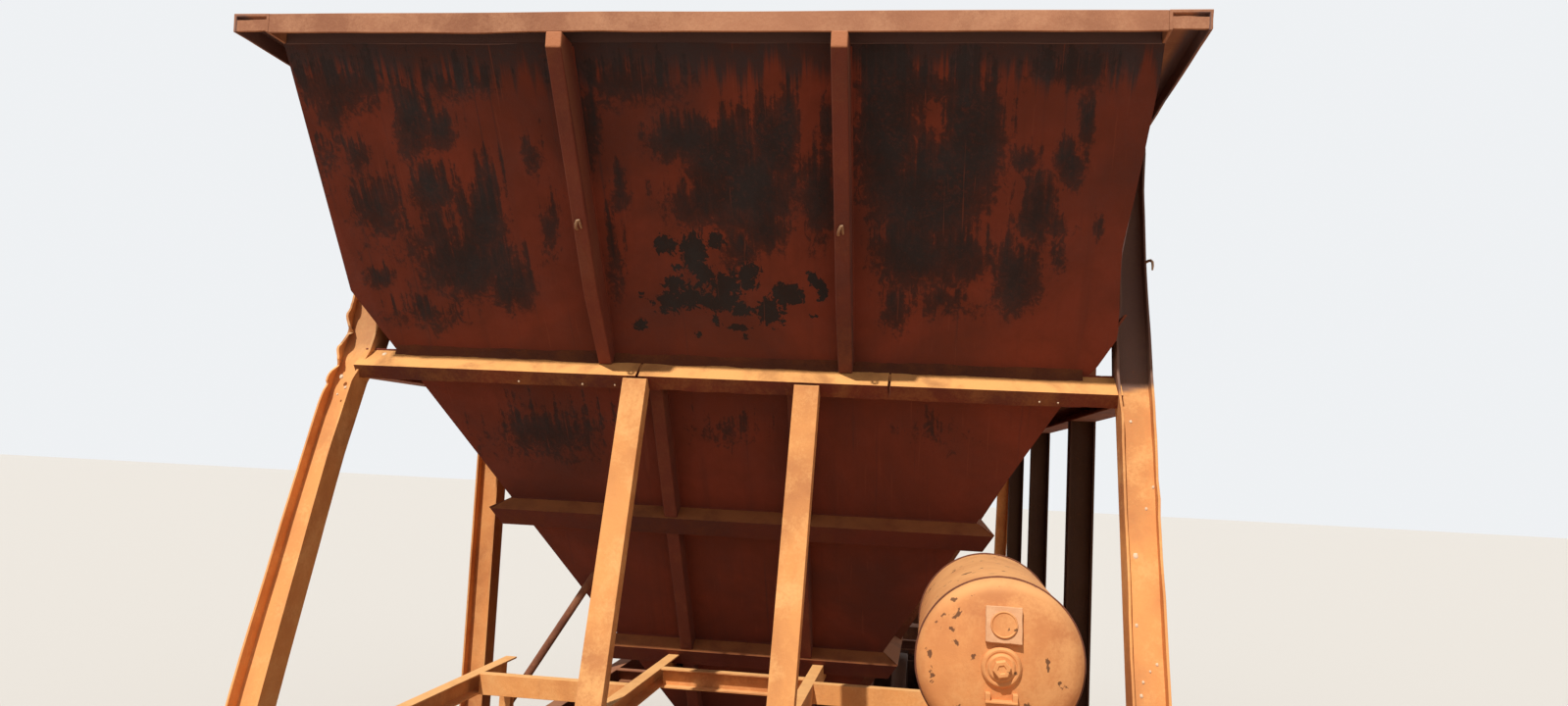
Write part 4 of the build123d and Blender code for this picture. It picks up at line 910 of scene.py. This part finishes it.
# Front left post, bent back: height, outer flange back, inner flange back, inner flange in
LEFT_BEND = (
    (1.74, 0.0, 0.0, 0.0), (1.95, 0.009, 0.002, 0.0), (2.17, 0.015, 0.003, 0.0), (2.39, 0.027, 0.007, 0.0),
    (2.65, 0.040, 0.026, 0.004), (2.76, 0.046, 0.040, 0.036), (2.86, 0.052, 0.052, 0.036),
    (2.95, 0.046, 0.046, 0.008), (3.02, 0.040, 0.040, 0.0), (3.30, 0.0, 0.0, 0.0),
)
# Front right post, pushed in: height, outer flange, inner flange
RIGHT_PUSH = (
    (1.0, 0.0, 0.0), (1.3, 0.007, 0.011), (2.65, 0.008, 0.012), (2.78, 0.013, 0.020), (2.92, 0.014, 0.017),
    (3.02, 0.015, 0.005), (3.2, 0.016, 0.0), (3.45, 0.012, 0.0), (3.62, 0.0, 0.0),
)


def corner_posts():
    mesh = bmesh.new()
    outline = split(beam(POST_RUN, POST_WIDTH, POST_WALL), 0.014)
    torn_low, torn_high = 2.55, 3.12
    stations = steps(POST_FOOT_Z, torn_low, 0.06) + steps(torn_low, torn_high, 0.012)[1:]
    stations += steps(torn_high, RIM_BOTTOM, 0.04)[1:]
    for end, side in CORNERS:
        seed = end * 2.0 + side * 5.0

        def place(u, v, z):
            outward = v / POST_WIDTH
            front = max(0.0, 1.0 - u / 0.052)
            outer = 1.0 if v > POST_WIDTH - POST_WALL * 1.5 else 0.0
            inner = 1.0 if v < POST_WALL * 1.5 else 0.0
            ends = held(z, (POST_FOOT_Z, RIM_BOTTOM), 0.2)
            back = 0.0015 * ripple(z * 9.0, v * 8.0, 0.0, seed)
            push = 0.0020 * (1.0 + ripple(z * 4.0, u * 9.0, 0.0, seed + 3.0)) * outer * ends
            if end > 0 and side < 0:
                back += along(LEFT_BEND, z, 1) * outward + along(LEFT_BEND, z, 2) * (1.0 - outward)
                for height, reach, depth in TORN_EDGE:
                    back += depth * bump(z, height, reach) * front * outer
                lobe = max(bump(z, height, reach) * size for height, reach, size in TORN_LOBES)
                frill = 0.004 * (1.0 + wave(z * 31.0, 2.0))
                curl = bump(z, 2.82, 0.30) * (0.026 * (1.0 - lobe) + frill)
                push += curl * front * outer
                push += along(LEFT_BEND, z, 3) * (1.0 - outward)
            if end > 0 and side > 0:
                push += along(RIGHT_PUSH, z, 1) * outward + along(RIGHT_PUSH, z, 2) * (1.0 - outward)
                push += 0.004 * (1.0 + wave(z * 17.0, 6.0)) * bump(z, 2.35, 0.5) * front * outer
                push += 0.003 * wave(z * 11.0, 9.0) * inner * front * ends
            return Vector((end * (post_x(z) - u - back * ends), side * (SHEET_Y + v * 0.996 - push), z))
        add_bar(mesh, outline, stations, place)
    piece = finished("corner_post_beams", mesh, paint_post, replaced="corner_posts", edge=0.0015)

    # Painted shadow on the posts above the waist: soft on the rear posts and the front left one, with a sharp
    # slanted edge on the front right one
    def painted_shadow_above_waist(x, y, z):
        if x < 0 or y < 0:
            return share_of((z - 2.74) / 0.06) * 0.35
        return share_of((z - 2.713 - 0.22 * (y - SHEET_Y)) / 0.012) * 0.8
    mark(piece, "painted_shade", painted_shadow_above_waist)


corner_posts()


# Small fittings of the photographed end

# Hooks on the upper stiffeners, by pixel, and the height of the one on the post
STIFFENER_HOOKS = ((589.5, 227), (857, 233))
POST_HOOK_Z = 3.185


def hooks():
    """Rope hooks on the upper stiffeners and one on the front right post."""
    mesh = bmesh.new()
    face = Vector((end_x(WAIST_ROOT_Z), 0, WAIST_ROOT_Z)) + END_OUT * UPPER_DEPTH
    side = Vector((0, 1, 0))
    bends = (
        (-0.007, -0.024, -0.002), (-0.006, -0.012, 0.011), (-0.002, 0.004, 0.018), (0.003, 0.015, 0.017),
        (0.0065, 0.013, 0.010), (0.0075, -0.004, 0.005), (0.008, -0.020, -0.002),
    )
    for px, py in STIFFENER_HOOKS:
        middle = seen(px, py, END_OUT, face)
        path = [middle + side * across + END_UP * up + END_OUT * out for across, up, out in bends]
        add_tube(mesh, path, (0.0052, 0.0052, 0.005, 0.0048, 0.0046, 0.0044, 0.004))
    foot = Vector((post_x(POST_HOOK_Z) - 0.004, HALF_WIDTH - 0.0195, POST_HOOK_Z))
    bends = (
        (0.0, 0.0, 0.0), (0.016, 0.005, 0.002), (0.032, 0.010, 0.001), (0.044, 0.0138, -0.007),
        (0.048, 0.0142, -0.021), (0.046, 0.0135, -0.036),
    )
    path = [foot + Vector(bend) for bend in bends]
    add_tube(mesh, path, (0.005, 0.005, 0.005, 0.0048, 0.0045, 0.003))
    finished("rope_hooks", mesh, bare_bar)


def welds():
    """Beads along the stiffeners, the waist beams and the ring angles of both ends."""
    mesh = bmesh.new()
    half = STIFFENER_HALF
    for sign in (1, -1):
        def on_end(y, z):
            return Vector((sign * (end_x(z) + 0.001), y, z))
        for middle, top, foot, size in (
            (UPPER_STIFFENER_Y, RIM_BOTTOM - 0.01, WAIST_ROOT_Z + 0.005, 0.0042),
            (LOWER_STIFFENER_Y, WAIST_ROOT_Z - 0.06, RING_ROOTS[0] + 0.01, 0.004),
            (LOWER_STIFFENER_Y, RING_ROOTS[0] - 0.07, RING_ROOTS[1] + 0.01, 0.004),
        ):
            for y in (middle + half, middle - half, half - middle, -middle - half):
                add_weld(mesh, on_end(y, top), on_end(y, foot), size, y)
        add_weld(mesh, on_end(-SHEET_Y, WAIST_ROOT_Z), on_end(SHEET_Y, WAIST_ROOT_Z), 0.0045, sign)
        for root in RING_ROOTS:
            add_weld(mesh, on_end(-side_y(root), root), on_end(side_y(root), root), 0.004, root)
    finished("weld_beads", mesh, paint_end)


# Pale droppings by pixel, with their radius in pixels
DROPPINGS_RIGHT = (
    (1153, 430, 1.5), (1176, 497, 1.5), (1169, 519, 1.6), (1158, 567, 2.6), (1159, 638, 1.7),
    (1180, 678, 1.6), (1173, 685, 1.2), (1166, 696, 1.4), (1164, 710, 1.7),
)
DROPPINGS_LEFT = ((348, 384, 2.0), (352, 395, 1.4), (344, 402, 1.0))
DROPPINGS_WAIST_TOP = ((392, 361, 2.2),)
DROPPINGS_WAIST_EDGE = ((529, 389, 1.0), (594, 392, 1.2), (627, 393, 1.0), (1060, 410, 1.1), (1079, 411, 1.0))


def droppings():
    """Flat dried drops on what the pixels show."""
    mesh = bmesh.new()
    post_out = Vector((1.0, 0.0, POST_LEAN)).normalized()
    post_web = Vector((post_x(2.0) - (POST_RUN - POST_WALL) / 2, 0.0, 2.0))
    waist_top = Vector((end_x(WAIST_ROOT_Z), 0.0, WAIST_ROOT_Z))
    waist_edge = waist_top + END_OUT * (WAIST_REACH - 0.001)
    places = [(drop, post_out, post_web) for drop in DROPPINGS_RIGHT + DROPPINGS_LEFT]
    places += [(drop, END_UP, waist_top) for drop in DROPPINGS_WAIST_TOP]
    places += [(drop, END_OUT, waist_edge) for drop in DROPPINGS_WAIST_EDGE]
    for (px, py, radius), out, through in places:
        spot = seen(px, py, out, through)
        wide = radius * (spot - CAMERA_AT).length / FOCAL_PX
        _, side, other = square_to(out)
        rings = []
        for share, rise in ((1.0, -0.0015), (0.8, 0.0015), (0.4, 0.0025)):
            ring = []
            for k in range(14):
                cos = math.cos(2 * math.pi * k / 14)
                sin = math.sin(2 * math.pi * k / 14)
                reach = wide * share * (1.0 + 0.3 * ripple(px + 2 * cos, py + 2 * sin, 0.0))
                ring.append(mesh.verts.new(spot + (side * cos + other * sin * 1.25) * reach + out * rise))
            rings.append(ring)
        join_rings(mesh, rings)
    finished("pale_droppings", mesh, pale_spots, crease=60.0)


hooks()
welds()
droppings()


# Air reservoir: shell with dished heads, seams, plug in its boss, blank plate, bracket

def dished(front, sign):
    """Head outline from its edge to its middle: a knuckle arc, then a crown arc."""
    turn = math.atan2(TANK_FLAT, TANK_CROWN - TANK_DOME)
    points = []
    for angle in steps(math.pi / 2, turn, 0.12)[:-1]:
        out = TANK_KNUCKLE * math.cos(angle)
        points.append((front + sign * out, TANK_FLAT + TANK_KNUCKLE * math.sin(angle)))
    for angle in steps(turn, 0.0, 0.025)[:-1]:
        out = TANK_DOME - TANK_CROWN + TANK_CROWN * math.cos(angle)
        points.append((front + sign * out, TANK_CROWN * math.sin(angle)))
    return points + [(front + sign * TANK_DOME, 0.0)]


def head_x(away):
    """Front head's face at a distance from the reservoir's axis."""
    return TANK_FRONT + TANK_DOME - TANK_CROWN + math.sqrt(TANK_CROWN**2 - away**2)


def reservoir():
    mesh = bmesh.new()
    back = TANK_FRONT - TANK_LENGTH
    add_turned(mesh, dished(back, -1)[::-1] + dished(TANK_FRONT, 1), (0, TANK_Y, TANK_Z), (1, 0, 0), 96)
    finished("reservoir_shell", mesh, paint_tank, replaced="air_reservoir", crease=30.0)

    mesh = bmesh.new()
    for x in (back, TANK_FRONT):
        points = []
        for k in range(121):
            angle = 2 * math.pi * k / 120
            reach = TANK_RADIUS + 0.0005 + 0.0008 * ripple(math.cos(angle) * 9, math.sin(angle) * 9, x)
            points.append((x, TANK_Y + reach * math.cos(angle), TANK_Z + reach * math.sin(angle)))
        add_tube(mesh, points, [0.0042] * len(points))
    y = TANK_Y + TANK_RADIUS * 0.5
    z = TANK_Z - TANK_RADIUS * 0.866
    add_weld(mesh, (back, y, z), (TANK_FRONT, y, z), 0.004, 2.0)
    finished("reservoir_seams", mesh, paint_seam, crease=60.0)


def reservoir_fittings():
    """Boss with its plug, the blank plate with its disc, and the bracket below."""
    mesh = bmesh.new()
    face = head_x(0.0)
    boss = [
        (-0.010, 0.056), (0.002, 0.056), (0.008, 0.0535), (0.012, 0.049), (0.0125, 0.044), (0.0105, 0.042),
        (0.0105, 0.039), (0.015, 0.037), (0.018, 0.033), (0.018, 0.0),
    ]
    add_turned(mesh, boss, (face, TANK_Y, TANK_Z), (1, 0, 0))
    plug = [(0.014, 0.026), (0.034, 0.026), (0.038, 0.023), (0.038, 0.013), (0.034, 0.011), (0.034, 0.0)]
    add_turned(mesh, plug, (face, TANK_Y, TANK_Z), (1, 0, 0), 6, 0.2)
    finished("reservoir_plug", mesh, paint_tank, edge=0.0012)

    mesh = bmesh.new()
    rise = 0.112
    lean = math.asin(rise / round(TANK_CROWN, 4))
    out = Vector((math.cos(lean), 0, math.sin(lean)))
    up = Vector((-math.sin(lean), 0, math.cos(lean)))
    centre = Vector((head_x(rise), TANK_Y + 0.004, TANK_Z + rise)) + out * 0.004
    outline = split([(-0.050, -0.047), (0.050, -0.050), (0.049, 0.050), (-0.050, 0.051)], 0.02)

    def place(u, v, t):
        worn = 0.0015 * ripple(u * 60, v * 60, t * 9, 1.0)
        return centre + Vector((0, u + worn, 0)) + up * (v + worn) + out * (t + worn * 0.4)
    add_bar(mesh, outline, (-0.012, 0.014), place)
    finished("reservoir_plate", mesh, paint_plate, edge=0.002)

    mesh = bmesh.new()
    disc = [
        (0.010, 0.037), (0.018, 0.037), (0.0205, 0.0355), (0.0205, 0.033), (0.0175, 0.0315), (0.0175, 0.0),
    ]
    add_turned(mesh, disc, centre, out, 40)
    finished("reservoir_disc", mesh, paint_tank, edge=0.0012)

    mesh = bmesh.new()
    low = TANK_Z - 0.088
    middle = TANK_Y + 0.002
    face = head_x(0.09)
    flat = split(block(-0.044, 0.044, 0.0, 0.006), 0.02)
    add_bar(mesh, flat, (0.0, 0.035), lambda u, v, t: Vector((face - 0.004 + t, middle + u, low - v)))
    ear = block(0.030, 0.044, -0.002, 0.020)
    for side in (1, -1):
        add_bar(
            mesh, ear, (0.006, 0.035),
            lambda u, v, t: Vector((face - 0.008 + t, middle + side * u, low + v)),
        )
    finished("reservoir_bracket", mesh, paint_tank, edge=0.0015)


reservoir()
reservoir_fittings()


# Running gear

def bogie_springs(end, sign):
    """Coil springs of round bar with flattened end turns."""
    mesh = bmesh.new()
    bar = 0.0095
    mean = SPRING_RADIUS - bar
    turns = 6.0
    per_turn = 22
    count = int(turns * per_turn)
    low = SPRING_SEAT_Z + bar
    high = SPRING_TOP_Z - bar
    for ahead, outward in reversed(CORNERS):
        x = sign * BOGIE_X + ahead * SPRING_PITCH / 2
        y = JOURNAL_Y + outward * SPRING_PITCH / 3
        for side in (1, -1):
            points = []
            for k in range(count + 1):
                turn = k / per_turn
                z = low + (high - low) * share_of((turn - 0.6) / (turns - 1.2))
                angle = 2 * math.pi * turn
                points.append((x + mean * math.cos(angle), side * y + mean * math.sin(angle), z))
            add_tube(mesh, points, [bar] * len(points))
    bogie = f"bogie_{end}"
    finished(f"coil_springs_{end}", mesh, spring_steel, bogie, f"{bogie}_springs")


def axle_screws(end, side, x):
    """Three hexagon screws with round washers in each end of an axle."""
    mesh = bmesh.new()
    face = JOURNAL_Y + 0.075 + 0.005 + 0.016
    across = 0.030
    washer = across * 0.12
    rim = across * 0.72
    flat = [(-0.002, rim), (washer * 0.7, rim), (washer, across * 0.68)]
    radius = across / math.sqrt(3)
    top = washer + across * 0.6
    head = [(washer, radius), (top - across * 0.08, radius), (top, radius * 0.86)]
    for sign in (1, -1):
        for k in range(3):
            angle = math.radians(90 + 120 * k)
            spot = (x + 0.058 * math.cos(angle), sign * face, AXLE_Z + 0.058 * math.sin(angle))
            add_turned(mesh, flat, spot, (0, sign, 0), 20)
            add_turned(mesh, head, spot, (0, sign, 0), 6, angle)
    finished(f"axle_screws_{end}_{side}", mesh, casting, f"wheelset_{end}_{side}")


for end, sign in ENDS:
    bogie_springs(end, sign)
    axle_screws(end, "outer", sign * (BOGIE_X + AXLE_OFFSET))
    axle_screws(end, "inner", sign * (BOGIE_X - AXLE_OFFSET))


# Edges of the solids that stay, by how wide they are rounded

ROUND_EDGES = {
    0.001: "side_slope_left side_slope_right chute_sides chute_ends",
    0.0015: "side_stiffeners slope_stiffeners hopper_rings_end hopper_rings_side waist_ledges cross_bearers "
            "end_struts strut_links reservoir_rack spare_rack door_left door_right",
    0.002: "end_posts",
    0.003: "side_sills end_sills centre_sills reservoir_saddles wheels_front_outer wheels_front_inner "
           "wheels_rear_outer wheels_rear_inner",
    0.004: "brake_cylinder body_side_bearers bogie_front_axle_boxes bogie_rear_axle_boxes "
           "bogie_front_brake_beams bogie_rear_brake_beams",
    0.005: "body_bolsters draft_gear",
    0.008: "bogie_front_bolster bogie_rear_bolster",
    0.010: "bogie_front_side_frames bogie_rear_side_frames",
    0.012: "coupler_heads coupler_knuckles",
}
for width, names in ROUND_EDGES.items():
    for name in names.split():
        weld = nodes[name].modifiers.new("weld", "WELD")
        weld.merge_threshold = 0.00005
        rounded(nodes[name], width)


# Floor, light and camera

FLOOR_HALF = 60.0
floor_mesh = bpy.data.meshes.new("floor")
corners = [(x, y, 0) for x, y in block(-FLOOR_HALF, FLOOR_HALF, -FLOOR_HALF, FLOOR_HALF)]
floor_mesh.from_pydata(corners, [], [(0, 1, 2, 3)])
floor = linked("floor", floor_mesh)
floor_material = bpy.data.materials.new("floor")
ground = Shader(floor_material, cleared=False)
floor_colour = ground.blend(ground.looked_at(), (0.41, 0.26, 0.165, 1.0), (0.60, 0.58, 0.55, 1.0))
floor_surface = ground.tree.nodes["Principled BSDF"].inputs
ground.tree.links.new(floor_colour, floor_surface["Base Color"])
floor_surface["Roughness"].default_value = 0.95
wear(floor, floor_material)

world = bpy.data.worlds.new("studio")
bpy.context.scene.world = world
sky = Shader(world)
lit = sky.add("Background", Color=(0.95, 0.97, 1.0, 1.0), Strength=0.46)
backdrop = sky.add("Background", Color=(0.86, 0.88, 0.90, 1.0), Strength=1.0)
mixed = sky.add("MixShader", i0=sky.looked_at(), i1=lit.outputs[0], i2=backdrop.outputs[0])
sky.add("OutputWorld", Surface=mixed.outputs[0])

sun_data = bpy.data.lights.new("sun", "SUN")
sun_data.energy = 3.9
sun_data.angle = math.radians(1.0)
sun_data.color = (1.0, 0.95, 0.88)
sun = linked("sun", sun_data)
SUN_FROM = Vector((0.793, -0.243, 1.0))
sun.rotation_mode = "QUATERNION"
sun.rotation_quaternion = SUN_FROM.to_track_quat("Z", "Y")

camera_data = bpy.data.cameras.new("camera")
camera_data.sensor_width = SENSOR_MM
camera_data.lens = FOCAL_MM
camera_data.clip_start = 0.05
camera_data.clip_end = 300.0
camera = linked("camera", camera_data)
turn = Matrix((CAMERA_RIGHT, CAMERA_UP, CAMERA_BACK)).transposed()
camera.matrix_world = Matrix.Translation(CAMERA_AT) @ turn.to_4x4()
bpy.context.scene.camera = camera

bpy.context.scene.view_settings.view_transform = "Standard"
